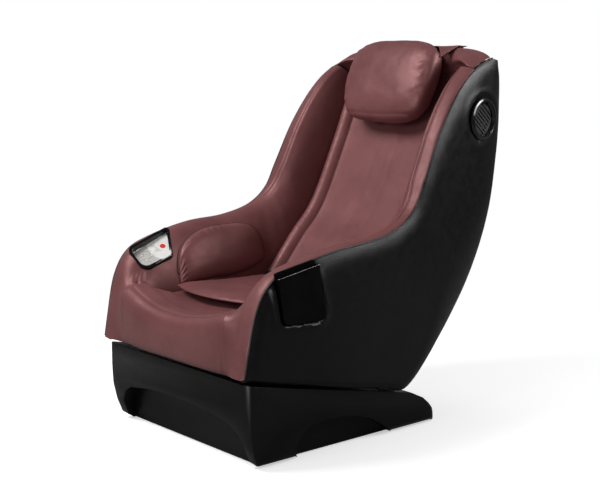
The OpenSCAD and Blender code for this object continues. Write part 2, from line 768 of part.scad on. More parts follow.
module wheel_axles() {
  color(steel)
    for (s = [-1, 1])
      mirrored_left_right(s)
        translate([beam_x - 12, wheel_at[1], wheel_at[2]])
          rotate([0, 90, 0]) {
            cylinder(h = wheel_at[0] + wheel_w / 2 + 2 - beam_x + 12, r = axle_r);
            translate([0, 0, 24])
              cylinder(h = wheel_at[0] - wheel_w / 2 - beam_x - 12.5, r = axle_r + 4);
          }
}
module transport_wheel(side) {
  color(rubber)
    translate([side * wheel_at[0], wheel_at[1], wheel_at[2]])
      rotate([0, 90, 0])
        rotate_extrude()
          polygon([[axle_r + run_gap, -wheel_w / 2], [wheel_r - 9, -wheel_w / 2],
            [wheel_r - 8, -wheel_w / 2 + 2], [wheel_r - 3, -wheel_w / 2 + 1],
            [wheel_r, -wheel_w / 2 + 4], [wheel_r, wheel_w / 2 - 4],
            [wheel_r - 3, wheel_w / 2 - 1], [wheel_r - 8, wheel_w / 2 - 2],
            [wheel_r - 9, wheel_w / 2], [axle_r + run_gap, wheel_w / 2]]);
}

pin_head = 4;
module pivot_pins() {
  color(steel)
    for (s = [-1, 1])
      mirrored_left_right(s)
        translate([upright_x - pin_head, pivot[0], pivot[1]])
          rotate([0, 90, 0]) {
            cylinder(h = pin_head, r = pin_r + 4);
            cylinder(h = lug_x + plate_t + 3 - upright_x + pin_head, r = pin_r);
          }
}

// ---- recline actuator ---------------------------------------------------

rod_dir = unit(rod_end - actuator_foot);
rod_angle = atan2(rod_dir[1], rod_dir[0]);
tube_l = 112;
module on_actuator() {
  translate([0, actuator_foot[0], actuator_foot[1]])
    rotate([rod_angle - 90, 0, 0])
      children();
}
module actuator_tube() {
  color(dark_steel)
    on_actuator()
      difference() {
        union() {
          rotate([0, 90, 0])
            cylinder(h = 46, r = 13, center = true);
          translate([-13, -13, 0])
            cube([26, 26, 16]);
          translate([0, 0, 14])
            cylinder(h = tube_l - 14, d = actuator_d);
          translate([0, 42, 22])
            cylinder(h = 74, d = 44);
          translate([-17, 0, 16])
            cube([34, 42, 22]);
        }
        rotate([0, 90, 0])
          cylinder(h = 60, r = 6 + run_gap, center = true);
        translate([0, 0, 20])
          cylinder(h = tube_l, d = rod_d + 2 * run_gap);
      }
}
module actuator_rod() {
  color(steel)
    on_actuator()
      difference() {
        union() {
          translate([0, 0, 24])
            cylinder(h = norm(rod_end - actuator_foot) - 32, d = rod_d);
          translate([0, 0, norm(rod_end - actuator_foot)])
            rotate([0, 90, 0])
              cylinder(h = 18, r = 13, center = true);
        }
        translate([0, 0, norm(rod_end - actuator_foot)])
          rotate([0, 90, 0])
            cylinder(h = 30, r = 6.6, center = true);
      }
}

// ---- power inlet --------------------------------------------------------

inlet_w = 74;
inlet_h = 32;
module power_inlet() {
  color(plastic)
    translate(inlet_at) {
      difference() {
        translate([-26 + gap, -20, -inlet_h / 2 + gap])
          cube([inlet_w - 2 * gap, 24, inlet_h - 2 * gap]);
        translate([-13.5, -12, -10])
          cube([27, 30, 20]);
        translate([22.5, -12, -10])
          cube([19, 30, 20]);
      }
      for (p = [[-7, 2], [0, -3], [7, 2]])
        translate([p[0] - 1, -12, p[1] - 2])
          cube([2, 11, 4]);
    }
}
switch_tilt = 8;
module power_switch() {
  color(black)
    translate(inlet_at + [32, -2, 0])
      rotate([switch_tilt, 0, 0])
        rotate([0, 90, 0])
          translate([0, 0, -9.1])
            linear_extrude(height = 18.2)
              polygon([[-8.4, 2.6], [0, 1.2], [8.4, 2.6], [7.6, -2], [3, -5], [-3, -5], [-7.6, -2]]);
}

// ---- steel frame of the body --------------------------------------------

// The rails run straight along the back and bend forward towards the seat
rail_tilt = atan2(70, shoulder_z - 135 - 820);
rail_u = [sin(rail_tilt), cos(rail_tilt)];
rail_v = [cos(rail_tilt), -sin(rail_tilt)];
rail_foot = [back_reach - 324, 662] + rail_n * rail_v;
rail_len = 352;
rail_bend_r = 470;
rail_end_angle = -62;
bend_centre = rail_foot - rail_bend_r * rail_v;
rail_tube_d = 14;
function rail_point(a) = bend_centre + rail_bend_r * [cos(a), sin(a)];
function rail_point_up(s) = rail_foot + rail_u * s;
rail_tube_spots = [rail_point(-45), rail_point_up(300)];

function band_out(t) = mix(30, 70, clamp01((t * spans - 6) / 3));
band_w = 120;
band_ends = [0.13, 0.86];
function band_point(t, s) =
  let (q = hem(t), p = edge(t)) q + (p - q) / norm(p - q) * min(s, norm(p - q) - 52);
module frame_plate() {
  difference() {
    union() {
      polygon(concat(
        [for (i = [0:26]) let (t = mix(band_ends[0], band_ends[1], i / 26))
          band_point(t, band_out(t))],
        [for (i = [26:-1:0]) let (t = mix(band_ends[0], band_ends[1], i / 26))
          band_point(t, band_out(t) + band_w)]));
      polygon(concat([[pivot[0] - 70, 190], [pivot[0] - 22, pivot[1]]],
        arc(pivot, 22, 180, 360, 10), [[pivot[0] + 22, pivot[1]], [pivot[0] + 50, 190]]));
    }
    translate(pivot)
      circle(r = pin_r + run_gap);
    for (t = [0.25, 0.35, 0.65, 0.74])
      translate(band_point(t, band_out(t) + band_w / 2))
        circle(r = 30);
  }
}
tube_spots = [[0.2, 46], [0.47, 60], [0.60, 80], [0.70, 92]];
tube_wall = 2;
module cross_tube(p, d, over) {
  translate([-lug_x - over, p[0], p[1]])
    rotate([0, 90, 0])
      cylinder(h = 2 * (lug_x + over), d = d);
}
rod_tube = rod_end + [0, 44];
module seat_frame() {
  color(steel)
    difference() {
      union() {
        for (s = [-1, 1])
          translate([s > 0 ? lug_x : -lug_x - plate_t, 0, 0])
            rotate([90, 0, 90])
              linear_extrude(height = plate_t)
                frame_plate();
        for (spot = tube_spots)
          cross_tube(band_point(spot[0], spot[1]), tube_d, 0);
        for (p = rail_tube_spots)
          cross_tube(p, rail_tube_d, 0);
        cross_tube(rod_tube, tube_d, 0);
        for (s = [-1, 1])
          translate([s * 17 - 3, 0, 0])
            rotate([90, 0, 90])
              linear_extrude(height = 6)
                polygon(concat(arc(rod_end, 13, 180, 360, 8),
                  [rod_end + [13, 44], rod_end + [-13, 44]]));
        translate([-20, rod_end[0], rod_end[1]])
          rotate([0, 90, 0])
            cylinder(h = 40, r = 6);
      }
      for (s = [-1, 1])
        translate([s > 0 ? lug_x - 1 : -lug_x - plate_t - 1, pivot[0], pivot[1]])
          rotate([0, 90, 0])
            cylinder(h = plate_t + 2, r = pin_r + run_gap);
      for (spot = tube_spots)
        cross_tube(band_point(spot[0], spot[1]), tube_d - 2 * tube_wall, plate_t + 1);
      cross_tube(rod_tube, tube_d - 2 * tube_wall, plate_t + 1);
    }
}

pan_t = 3;
module seat_pan() {
  color(dark_steel)
    difference() {
      union() {
        translate([-lug_x + gap, -450, seat_floor - pan_t])
          cube([2 * lug_x - 2 * gap, 440, pan_t]);
        for (s = [-1, 1])
          translate([s > 0 ? lug_x - gap - pan_t : -lug_x + gap, -380, seat_floor - 46])
            cube([pan_t, 330, 46]);
      }
      translate([-90, -150, seat_floor - 20])
        cube([180, 160, 40]);
    }
}

// Spacers that carry the side panels on the frame plates
standoff_spots = [[0.3, 90], [0.44, 90], [0.56, 110], [0.695, 178], [0.8, 178]];
standoff_gap = 1.1;
function standoff_end(spot) =
  side_x(band_point(spot[0], spot[1])[0]) + panel_crown - panel_wall - standoff_gap
  - curl_drop(spot[0], chord(spot[0]) - spot[1]);
module panel_standoffs() {
  color(steel)
    for (s = [-1, 1], spot = standoff_spots)
      mirrored_left_right(s)
        translate([lug_x + plate_t, band_point(spot[0], spot[1])[0], band_point(spot[0], spot[1])[1]])
          rotate([0, 90, 0])
            cylinder(h = standoff_end(spot) - lug_x - plate_t, d = 16);
}

// ---- massage mechanism --------------------------------------------------

tooth_pitch = PI * gear_module;
rack_line = rail_w / 2 + 1.25 * gear_module;
rack_teeth = 41;
rack_t = 8;
carriage_mid = rail_foot + rail_u * 165;
pinion_pitch_r = gear_module * pinion_teeth / 2;
climb_at = carriage_mid + rail_v * (rack_line + pinion_pitch_r);
climb_r = 8;

// Children drawn with X to the rear and Y up the rail, extruded along the chair's X
module on_rail(o, x0, t) {
  multmatrix([
    [0, 0, 1, x0],
    [rail_v[0], rail_u[0], 0, o[0]],
    [rail_v[1], rail_u[1], 0, o[1]],
    [0, 0, 0, 1]])
    linear_extrude(height = t)
      children();
}
module rail_profile() {
  translate([-rail_w / 2, 0])
    square([rail_w, rail_len]);
  translate([-rail_bend_r, 0])
    intersection() {
      difference() {
        circle(r = rail_bend_r + rail_w / 2, $fn = 180);
        circle(r = rail_bend_r - rail_w / 2, $fn = 180);
      }
      sweep = rail_end_angle + rail_tilt;
      polygon([[0, 0], [2 * rail_bend_r, 0], 2 * rail_bend_r * [cos(sweep / 2), sin(sweep / 2)],
        2 * rail_bend_r * [cos(sweep), sin(sweep)]]);
    }
}
module rack_profile() {
  m = gear_module;
  x0 = rail_w / 2;
  polygon(concat(
    [[x0 - 4, 4]],
    [[x0, 4]],
    [for (i = [0:rack_teeth - 1])
      let (y = 4 + (i + 0.5) * tooth_pitch)
      each [[x0, y - 0.36 * tooth_pitch], [x0 + 2.25 * m, y - 0.13 * tooth_pitch],
        [x0 + 2.25 * m, y + 0.13 * tooth_pitch], [x0, y + 0.36 * tooth_pitch]]],
    [[x0, 4 + rack_teeth * tooth_pitch], [x0 - 4, 4 + rack_teeth * tooth_pitch]]));
}
module guide_rail(side) {
  color(dark_steel)
    difference() {
      union() {
        on_rail(rail_foot, side * rail_x - 5, 10)
          rail_profile();
        on_rail(rail_foot, side * rail_x - rack_t / 2, rack_t)
          rack_profile();
      }
      for (p = rail_tube_spots)
        translate([side * rail_x - 10, p[0], p[1]])
          rotate([0, 90, 0])
            cylinder(h = 20, d = rail_tube_d + 2 * run_gap);
    }
}

cheek_x = 130;
cheek_t = 4;
cheek_h = 118;
front_depth = 40;
rear_depth = 62;
guide_r = 8;
module cheek_profile() {
  difference() {
    polygon([
      [-front_depth + 14, -cheek_h / 2], [rear_depth - 14, -cheek_h / 2],
      [rear_depth, -cheek_h / 2 + 16], [rear_depth, cheek_h / 2 - 16],
      [rear_depth - 14, cheek_h / 2], [-front_depth + 14, cheek_h / 2],
      [-front_depth, cheek_h / 2 - 18], [-front_depth, -cheek_h / 2 + 18]]);
    circle(r = knead_r + run_gap);
    translate([rack_line + pinion_pitch_r, 0])
      circle(r = climb_r + run_gap);
  }
}
module massage_carriage() {
  color(dark_steel) {
    for (s = [-1, 1]) {
      on_rail(carriage_mid, s * cheek_x - cheek_t / 2, cheek_t)
        cheek_profile();
      // Guide shoes that run along the front edge of each rail
      for (e = [-1, 1])
        on_rail(carriage_mid, s > 0 ? cheek_x : -rail_x - 5, rail_x + 5 - cheek_x)
          translate([-rail_w / 2 - guide_r - 0.3, e * 44])
            circle(r = guide_r);
    }
    for (e = [-1, 1])
      on_rail(carriage_mid, -cheek_x, 2 * cheek_x)
        translate([rear_depth - 22, e * (cheek_h / 2 - 5) - 2])
          square([18, 4]);
  }
}

// Involute-like spur tooth profile with straight flanks
module pinion_profile(teeth) {
  m = gear_module;
  root = m * teeth / 2 - 1.25 * m;
  tip = m * teeth / 2 + 0.9 * m;
  polygon([for (i = [0:teeth - 1])
    let (a = 360 * i / teeth, w = 360 / teeth)
    each [root * [cos(a - 0.33 * w), sin(a - 0.33 * w)], tip * [cos(a - 0.10 * w), sin(a - 0.10 * w)],
      tip * [cos(a + 0.10 * w), sin(a + 0.10 * w)], root * [cos(a + 0.33 * w), sin(a + 0.33 * w)]]]);
}
pinion_turn = 90 / 8;
module climb_shaft() {
  color(steel) {
    on_rail(climb_at, -rail_x - 8, 2 * rail_x + 16)
      circle(r = climb_r);
    for (s = [-1, 1])
      on_rail(climb_at, s * rail_x - rack_t / 2 - 1, rack_t + 2)
        rotate(pinion_turn)
          pinion_profile(pinion_teeth);
    on_rail(climb_at, -12, 14)
      circle(r = 17);
  }
}
module climb_motor() {
  color(black) {
    on_rail(carriage_mid + rail_v * 44 + rail_u * 34, 40, 84)
      circle(r = 15);
    on_rail(carriage_mid + rail_v * 44 + rail_u * 34, cheek_x - cheek_t / 2 - 8, 8)
      circle(r = 9);
  }
}
module kneading_motor() {
  color(steel) {
    on_rail(carriage_mid + rail_v * 36 - rail_u * 34, -cheek_x + cheek_t / 2 + 0.2, 96)
      circle(r = 16);
    on_rail(carriage_mid + rail_v * 36 - rail_u * 34, -34, 8)
      circle(r = 6);
  }
}
hub_w = 16;
module kneading_shaft() {
  color(steel) {
    on_rail(carriage_mid, -cheek_x - cheek_t / 2 - 2, 2 * cheek_x + cheek_t + 4)
      circle(r = knead_r);
    on_rail(carriage_mid, -7, 14)
      circle(r = 18);
    for (s = [-1, 1])
      on_rail(carriage_mid, s * (knead_x - hub_w / 2 - 4) - 2, 4)
        circle(r = 14);
  }
}
head_spread = 46;
roller_clear = 5;
head_depth = rail_n - back_pad - roller_r - roller_clear;
head_pin_r = 5;
arm_t = 12;
// Forked arm: a hub on the shaft and two fingers, each with a pin for a roller
module kneading_arm(side) {
  color(dark_steel) {
    on_rail(carriage_mid, side * knead_x - arm_t / 2, arm_t)
      difference() {
        union() {
          circle(r = 16);
          for (e = [-1, 1])
            polygon([[4, e * 15], [-13, e * 4], [-head_depth + 6, e * (head_spread - 11)],
              [-head_depth - 7, e * (head_spread - 5)], [-head_depth - 6, e * (head_spread + 7)],
              [-head_depth + 8, e * (head_spread + 7)], [-18, e * 26]]);
        }
        circle(r = knead_r + run_gap);
      }
    for (e = [-1, 1])
      on_rail(carriage_mid - rail_v * head_depth + rail_u * e * head_spread,
        side > 0 ? knead_x : -knead_x - arm_t / 2 - roller_w - 3, arm_t / 2 + roller_w + 3)
        circle(r = head_pin_r);
  }
}
module massage_roller(side, e) {
  x0 = side > 0 ? knead_x + arm_t / 2 + 1 : -knead_x - arm_t / 2 - 1 - roller_w;
  o = carriage_mid - rail_v * head_depth + rail_u * e * head_spread;
  color(rubber)
    translate([x0 + roller_w / 2, o[0], o[1]])
      rotate([0, 90, 0])
        rotate_extrude()
          polygon(concat(
            [[head_pin_r + run_gap, roller_w / 2], [head_pin_r + run_gap, -roller_w / 2]],
            [for (a = [-80:16:80]) [12 + (roller_r - 12) * cos(a), roller_w / 2 * sin(a)]]));
}

module control_box() {
  color(plastic)
    translate([-90, -420, seat_floor - pan_t - 58 - gap])
      difference() {
        cube([180, 110, 58]);
        for (i = [0:6])
          translate([20 + 22 * i, -1, 14])
            cube([8, 3, 30]);
      }
}
module air_pump() {
  color(steel)
    translate([150, -330, seat_floor - pan_t - 36 - gap])
      rotate([-90, 0, 0]) {
        cylinder(h = 110, r = 36);
        translate([0, 0, 110])
          cylinder(h = 14, r = 8);
        translate([-20, -36, 20])
          cube([40, 20, 70]);
      }
}

// ---- controls, pocket and speakers --------------------------------------

// U runs to the rear and V to the inner side of the arm
module bezel_outline(out) {
  l = bezel_l / 2;
  w = bezel_w / 2;
  rounded([[-l + 22, -w], [l + 14, -w], [l - 55, w], [-l + 10, w - 6]], [26, 10, 20, 30], out);
}
bezel_rise = 21;
bezel_slope = [4, 13];
plate_t_top = 3;
module control_bezel() {
  color(plastic)
    mirror([1, 0, 0])
      in_frame(bezel_frame)
        difference() {
          translate([0, 0, -bezel_depth])
            linear_extrude(height = bezel_depth + 40)
              bezel_outline(0);
          translate([0, -bezel_w / 2, bezel_rise])
            rotate([-bezel_slope[1], bezel_slope[0], 0])
              translate([-200, -100, 0])
                cube([400, 300, 80]);
          translate([0, 0, -plate_t_top])
            linear_extrude(height = 60)
              bezel_outline(-9);
          translate([0, 0, 4 - bezel_depth])
            linear_extrude(height = 60)
              bezel_outline(-14);
        }
}
key_spots = [[-38, -14], [-12, -22], [16, -24], [-40, 12], [-14, 6], [14, 0]];
key_r = 5;
power_spot = [38, -2];
key_tall = 1;
power_tall = 1.6;
key_stem = 4;
module control_plate() {
  color([0.82, 0.82, 0.80])
    mirror([1, 0, 0])
      in_frame(bezel_frame)
        translate([0, 0, -plate_t_top])
          difference() {
            linear_extrude(height = plate_t_top)
              bezel_outline(-9.5);
            for (p = key_spots)
              translate([p[0], p[1], -1])
                cylinder(h = 6, r = key_r + 0.3);
            translate([power_spot[0], power_spot[1], -1])
              cylinder(h = 6, r = power_r + 0.3);
          }
}
// A key: a stem with a flange below the plate and a bevelled cap above it
module control_key(spot, r, tall) {
  mirror([1, 0, 0])
    in_frame(bezel_frame)
      translate([spot[0], spot[1], -plate_t_top - key_stem]) {
        cylinder(h = key_stem + plate_t_top + tall - 0.6, r = r);
        translate([0, 0, key_stem + plate_t_top + tall - 0.6])
          cylinder(h = 0.6, r1 = r, r2 = r - 0.6);
        cylinder(h = key_stem - 0.4, r = r + 1.2);
      }
}

pocket_at = [-front_reach + 174, arm_z - 109];
pocket_wall = 3;
pocket_lean = atan2(side_x(pocket_at[0] + 70) - side_x(pocket_at[0] - 70), 140);
pocket_corners = [[-80, 57], [-58, -84], [82, -86], [54, 85]];
pocket_mouth = 15;
module pocket_outline(out) {
  rounded(pocket_corners, [4, 18, 18, 4], out);
}
// Puts children on the side of the arm: X to the rear, Y up, Z outwards
module in_pocket() {
  translate([side_x(pocket_at[0]) + 1.4, pocket_at[0], pocket_at[1]])
    rotate([0, 0, -pocket_lean])
      rotate([90, 0, 90])
        children();
}
module phone_pocket() {
  depth = pocket_depth + 2 * pocket_wall;
  left = pocket_corners[0];
  right = pocket_corners[3];
  color(plastic)
    in_pocket()
      difference() {
        linear_extrude(height = depth)
          pocket_outline(0);
        translate([0, 0, pocket_wall])
          linear_extrude(height = pocket_depth)
            union() {
              pocket_outline(-pocket_wall);
              polygon([left + [4, -8], right + [-4, -8], right + [-4, 30], left + [4, 30]]);
            }
        translate([0, 0, pocket_wall])
          linear_extrude(height = depth)
            polygon([left + [-20, -pocket_mouth - 4], right + [20, 4 - pocket_mouth],
              right + [20, 40], left + [-20, 40]]);
      }
}

module speaker_ring(side) {
  color(plastic)
    mirrored_left_right(side)
      in_frame(speaker_frame)
        rotate_extrude($fn = 72)
          polygon([[speaker_neck_r - 8, -14], [speaker_neck_r, -14], [speaker_neck_r, gap],
            [speaker_r - 2, gap], [speaker_r, 3], [speaker_r - 3, 7], [speaker_r - 8, 9],
            [speaker_r - 13, 8], [speaker_neck_r - 8, 2]]);
}
grille_r = speaker_neck_r - 8 - gap;
module speaker_grille(side) {
  color(dark_steel)
    mirrored_left_right(side)
      in_frame(speaker_frame)
        difference() {
          translate([0, 0, -5])
            cylinder(h = 3, r = grille_r);
          for (i = [-3:3])
            translate([-grille_r * 0.7, i * 11 - 2.5, -8])
              cube([grille_r * 1.4, 5, 10]);
        }
}
module speaker_drivers() {
  color(black)
    for (s = [-1, 1])
      mirrored_left_right(s)
        in_frame(speaker_frame)
          rotate_extrude()
            polygon([[0, -26], [24, -26], [24, -19], [grille_r - 6, -13],
              [grille_r, -13], [grille_r, -8], [grille_r - 8, -8], [14, -16], [0, -17]]);
}

base_shell();
base_frame();
base_feet();
wheel_axles();
transport_wheel(1);  // transport_wheel_left
transport_wheel(-1);  // transport_wheel_right
pivot_pins();
actuator_tube();
actuator_rod();
power_inlet();
power_switch();
seat_frame();
seat_pan();
panel_standoffs();
bottom_cover();
back_cover();
side_panel(1);  // side_panel_left
side_panel(-1);  // side_panel_right
arm_wing(1);  // arm_wing_left
arm_wing(-1);  // arm_wing_right
seat_front();
seat_cushion();
seat_flap();
backrest_pad();
top_cap();
hip_pad(1);  // hip_pad_left
hip_pad(-1);  // hip_pad_right
head_pillow();
pillow_flap();
phone_pocket();
control_bezel();
control_plate();
color([0.8, 0.1, 0.1]) control_key(power_spot, power_r, power_tall);  // power_button
color([0.7, 0.7, 0.7]) control_key(key_spots[0], key_r, key_tall);  // key_1
color([0.7, 0.7, 0.7]) control_key(key_spots[1], key_r, key_tall);  // key_2
color([0.7, 0.7, 0.7]) control_key(key_spots[2], key_r, key_tall);  // key_3
color([0.7, 0.7, 0.7]) control_key(key_spots[3], key_r, key_tall);  // key_4
color([0.7, 0.7, 0.7]) control_key(key_spots[4], key_r, key_tall);  // key_5
color([0.7, 0.7, 0.7]) control_key(key_spots[5], key_r, key_tall);  // key_6
speaker_ring(1);  // speaker_ring_left
speaker_ring(-1);  // speaker_ring_right
speaker_grille(1);  // speaker_grille_left
speaker_grille(-1);  // speaker_grille_right
speaker_drivers();
guide_rail(1);  // guide_rail_left
guide_rail(-1);  // guide_rail_right
massage_carriage();
climb_shaft();
climb_motor();
kneading_motor();
kneading_shaft();
kneading_arm(1);  // kneading_arm_left
kneading_arm(-1);  // kneading_arm_right
massage_roller(1, 1);  // roller_upper_left
massage_roller(1, -1);  // roller_lower_left
massage_roller(-1, 1);  // roller_upper_right
massage_roller(-1, -1);  // roller_lower_right
control_box();
air_pump();
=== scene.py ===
import math
import bpy
import bmesh
import numpy as np
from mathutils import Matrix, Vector, noise


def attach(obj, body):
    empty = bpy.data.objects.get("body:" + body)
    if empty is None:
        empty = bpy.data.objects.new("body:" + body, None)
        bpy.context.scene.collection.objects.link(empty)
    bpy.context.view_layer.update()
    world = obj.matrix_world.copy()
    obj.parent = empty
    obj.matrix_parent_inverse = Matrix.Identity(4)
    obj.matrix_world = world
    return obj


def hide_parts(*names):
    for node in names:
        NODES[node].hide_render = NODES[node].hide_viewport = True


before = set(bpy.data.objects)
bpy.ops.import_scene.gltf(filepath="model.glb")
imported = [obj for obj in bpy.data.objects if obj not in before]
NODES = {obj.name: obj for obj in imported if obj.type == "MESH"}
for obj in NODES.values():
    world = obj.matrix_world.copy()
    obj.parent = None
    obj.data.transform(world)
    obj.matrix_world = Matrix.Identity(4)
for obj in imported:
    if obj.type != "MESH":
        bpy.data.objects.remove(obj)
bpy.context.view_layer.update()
MM = 0.001

# ---- curves of the body, in mm, as in the CAD source ----


def along(p, t):
    """Smooth curve through the points of p, at the share t of its way."""
    p = np.asarray(p, float)
    flat = p.ndim == 1
    if flat:
        p = p[:, None]
    k = np.clip(np.asarray(t, float), 0, 1) * (len(p) - 1)
    i = np.minimum(np.floor(k).astype(int), len(p) - 2)
    s = (k - i)[..., None]
    a, b, c, d = p[np.maximum(i - 1, 0)], p[i], p[i + 1], p[np.minimum(i + 2, len(p) - 1)]
    r = 0.5 * (2 * b + (c - a) * s + (2 * a - 5 * b + 4 * c - d) * s * s + (3 * b - a - 3 * c + d) * s ** 3)
    return r[..., 0] if flat else r


def clamp(v):
    return np.minimum(np.maximum(v, 0.0), 1.0)


def ease(v):
    v = clamp(v)
    return v * v * (3 - 2 * v)


def mix(a, b, s):
    return a + (b - a) * s


def spaced(n, share=1.0):
    """n values from -1 to 1, close together at their ends."""
    return np.sin(np.linspace(-1, 1, n) * math.pi / 2 * share)


def hand(side):
    return "left" if side > 0 else "right"


def on_side(p, side):
    return p * np.array([side, 1, 1])


PLAN = [[-560, 26], [-380, 9], [-222, 0], [0, 13], [200, 30], [330, 42], [454, 54], [560, 66]]
PLAN_CURVE = along(PLAN, np.linspace(0, 1, 41))
EDGE = [[-550, 258], [-536, 330], [-508, 450], [-455, 524], [-360, 560], [-220, 588], [-90, 599],
        [20, 627], [90, 680], [135, 765], [205, 898], [290, 1012], [370, 1076], [454, 1110]]
HEM = [[-550, 258], [-500, 250], [-430, 236], [-350, 220], [-260, 200], [-150, 176], [-30, 152],
       [75, 136], [230, 243], [375, 402], [485, 605], [530, 823], [529, 1011], [500, 1098]]
BACK = [[0, 424], [100, 540], [190, 640], [280, 820], [350, 975], [392, 1058]]
WALL = [249, 249, 249, 244, 238, 237, 238, 243, 245, 246, 246, 250, 262]
SPANS = 13
SEAT_Z = 402


def normal2(p, t):
    """Unit normal of a curve in the (y, z) plane."""
    d = along(p, t + 0.01) - along(p, t - 0.01)
    d = d / np.linalg.norm(d, axis=-1, keepdims=True)
    return np.stack([d[..., 1], -d[..., 0]], -1)


INNER = [[-544, 259], [-531, 331], [-490, 400], [-430, 356], [-345, 355], [-222, 355], [-100, 358]] + [
    list(np.array(BACK[i]) + 22 * normal2(BACK, i / 5)) for i in range(6)]


def side_x(y):
    return 371 - np.interp(y, PLAN_CURVE[:, 0], PLAN_CURVE[:, 1])


def edge(t):
    return along(EDGE, t)


def hem(t):
    return along(HEM, t)


def inner(t):
    return along(INNER, t * SPANS / (len(INNER) - 1))


def wall_x(t):
    return along(WALL, t * SPANS / (len(WALL) - 1))


def arm_band(t):
    return mix(24, 44, clamp((t * SPANS - 7) / 2))


def arm_swell(t):
    return mix(8, 18, clamp((t * SPANS - 9) / 3))


def arm_point(t, a, inset=0.0):
    """a in degrees, 0 on the crown and 90 at the foot of the arm padding."""
    t, a = np.broadcast_arrays(np.asarray(t, float), np.asarray(a, float))
    p, c = edge(t), inner(t)
    reach = np.linalg.norm(c - p, axis=-1)
    q = (c - p) / reach[..., None]
    h = arm_swell(t)
    x0 = side_x(p[..., 0]) - arm_band(t)
    a = np.radians(a)
    x = x0 - (x0 - wall_x(t) - inset) * np.sin(a)
    d = -h + (reach + h) * (1 - np.cos(a)) + inset * np.cos(a)
    return np.stack([x, p[..., 0] + q[..., 0] * d, p[..., 1] + q[..., 1] * d], -1)


def arm_edge(t, x_less, d):
    t = np.asarray(t, float)
    p = edge(t)
    q = inner(t) - p
    q = q / np.linalg.norm(q, axis=-1, keepdims=True)
    return np.stack([side_x(p[..., 0]) - x_less, p[..., 0] + q[..., 0] * d, p[..., 1] + q[..., 1] * d], -1)


def chord(t):
    return np.linalg.norm(hem(t) - edge(t), axis=-1)


def curl_x(t):
    return mix(22, 52, clamp((t * SPANS - 6.6) / 1.4))


def curl_d(t):
    return np.minimum(mix(24, 165, clamp((t * SPANS - 6.6) / 2)), 0.5 * chord(t))


def crown(t):
    return 10 * np.minimum(1, chord(t) / 120)


def panel_point(t, d, x_less):
    t, d = np.broadcast_arrays(np.asarray(t, float), np.asarray(d, float))
    c = chord(t)
    p = edge(t) + (hem(t) - edge(t)) * (d / c)[..., None]
    rise = crown(t) * (1 - (1 - clamp(d / np.minimum(60, 0.5 * c))) ** 2)
    return np.stack([side_x(p[..., 0]) + rise - x_less, p[..., 0], p[..., 1]], -1)


def curl_point(t, a, wall):
    a = np.radians(a)
    d = chord(t) - curl_d(t) + (curl_d(t) - wall) * np.sin(a)
    return panel_point(t, d, wall + (curl_x(t) - wall) * (1 - np.cos(a)))


# ---- frames of the bezel, pocket and speakers ----


def unit(v):
    v = np.asarray(v, float)
    return v / np.linalg.norm(v)


def frame_of(o, u, v):
    u = unit(u)
    n = unit(np.cross(u, v))
    return np.array(o, float), u, np.cross(n, u), n


def place(f, uvn):
    o, u, v, n = f
    uvn = np.asarray(uvn, float)
    return o + uvn[..., :1] * u + uvn[..., 1:2] * v + uvn[..., 2:3] * n


def local(f, p):
    o, u, v, n = f
    r = p - o
    return np.stack([r @ u, r @ v, r @ n], -1)


def outline(corners, radii, out, steps):
    """Rounded outline of a polygon, grown by out."""
    pts = []
    k = len(corners)
    c = np.array(corners, float)
    for i in range(k):
        a, b, d = c[i - 1], c[i], c[(i + 1) % k]
        u, w = unit(a - b), unit(d - b)
        half = math.acos(u @ w) / 2
        bis = unit(u + w)
        rr = max(radii[i] + out, 0.5)
        o = b - bis * out / math.sin(half) + bis * rr / math.sin(half)
        first = math.atan2(-u[0], u[1]) + math.pi
        for j in range(steps + 1):
            v = first + (math.pi - 2 * half) * j / steps
            pts.append(o + rr * np.array([math.cos(v), math.sin(v)]))
    return np.array(pts)


def bezel_outline(out, steps=10):
    return outline([[-69, -49], [105, -49], [36, 49], [-81, 43]], [26, 10, 20, 30], out, steps)


def pocket_outline(out, steps=8):
    return outline([[-80, 57], [-58, -84], [82, -86], [54, 85]], [4, 18, 18, 4], out, steps)


def mirrored(f):
    o, u, v, n = f
    m = np.array([-1.0, 1, 1])
    return o * m, u * m, v * m, n * m


BEZEL = mirrored(frame_of([300, -396, 516], [0.02, 0.93, 0.38], [-0.88, 0.18, -0.47]))
POCKET_Y, POCKET_Z, POCKET_HALF = -376.0, 488.0, 70
lean = math.atan2(float(side_x(POCKET_Y + POCKET_HALF) - side_x(POCKET_Y - POCKET_HALF)),
                  2 * POCKET_HALF)
POCKET = (np.array([float(side_x(POCKET_Y)) + 1.4, POCKET_Y, POCKET_Z]),
          np.array([math.sin(lean), math.cos(lean), 0]), np.array([0, 0, 1.0]),
          np.array([math.cos(lean), -math.sin(lean), 0]))


def panel_share(t, s):
    t = np.array(t)
    d = s * chord(t)
    cd = curl_d(t)
    drop = curl_x(t) * (1 - np.sqrt(1 - clamp((d - chord(t) + cd) / cd) ** 2))
    return panel_point(t, d, drop)


SPEAKER_T, SPEAKER_SHARE = 11 / SPANS, 0.46
SPEAKER = frame_of(
    panel_share(SPEAKER_T, SPEAKER_SHARE),
    panel_share(SPEAKER_T, 0.58) - panel_share(SPEAKER_T, 0.34),
    panel_share(SPEAKER_T + 0.03, SPEAKER_SHARE) - panel_share(SPEAKER_T - 0.03, SPEAKER_SHARE))
SPEAKER_HOLE = 57
CUT_CLEAR = 0.6
BEZEL_DEPTH = -20.6

# ---- mesh helpers ----


def add_mesh(name, verts, faces, sharp=None):
    me = bpy.data.meshes.new(name)
    me.from_pydata((np.asarray(verts) * MM).tolist(), [], faces)
    me.update()
    me.polygons.foreach_set("use_smooth", [True] * len(me.polygons))
    if sharp:
        me.set_sharp_from_angle(angle=math.radians(sharp))
    ob = bpy.data.objects.new(name, me)
    bpy.context.scene.collection.objects.link(ob)
    return ob


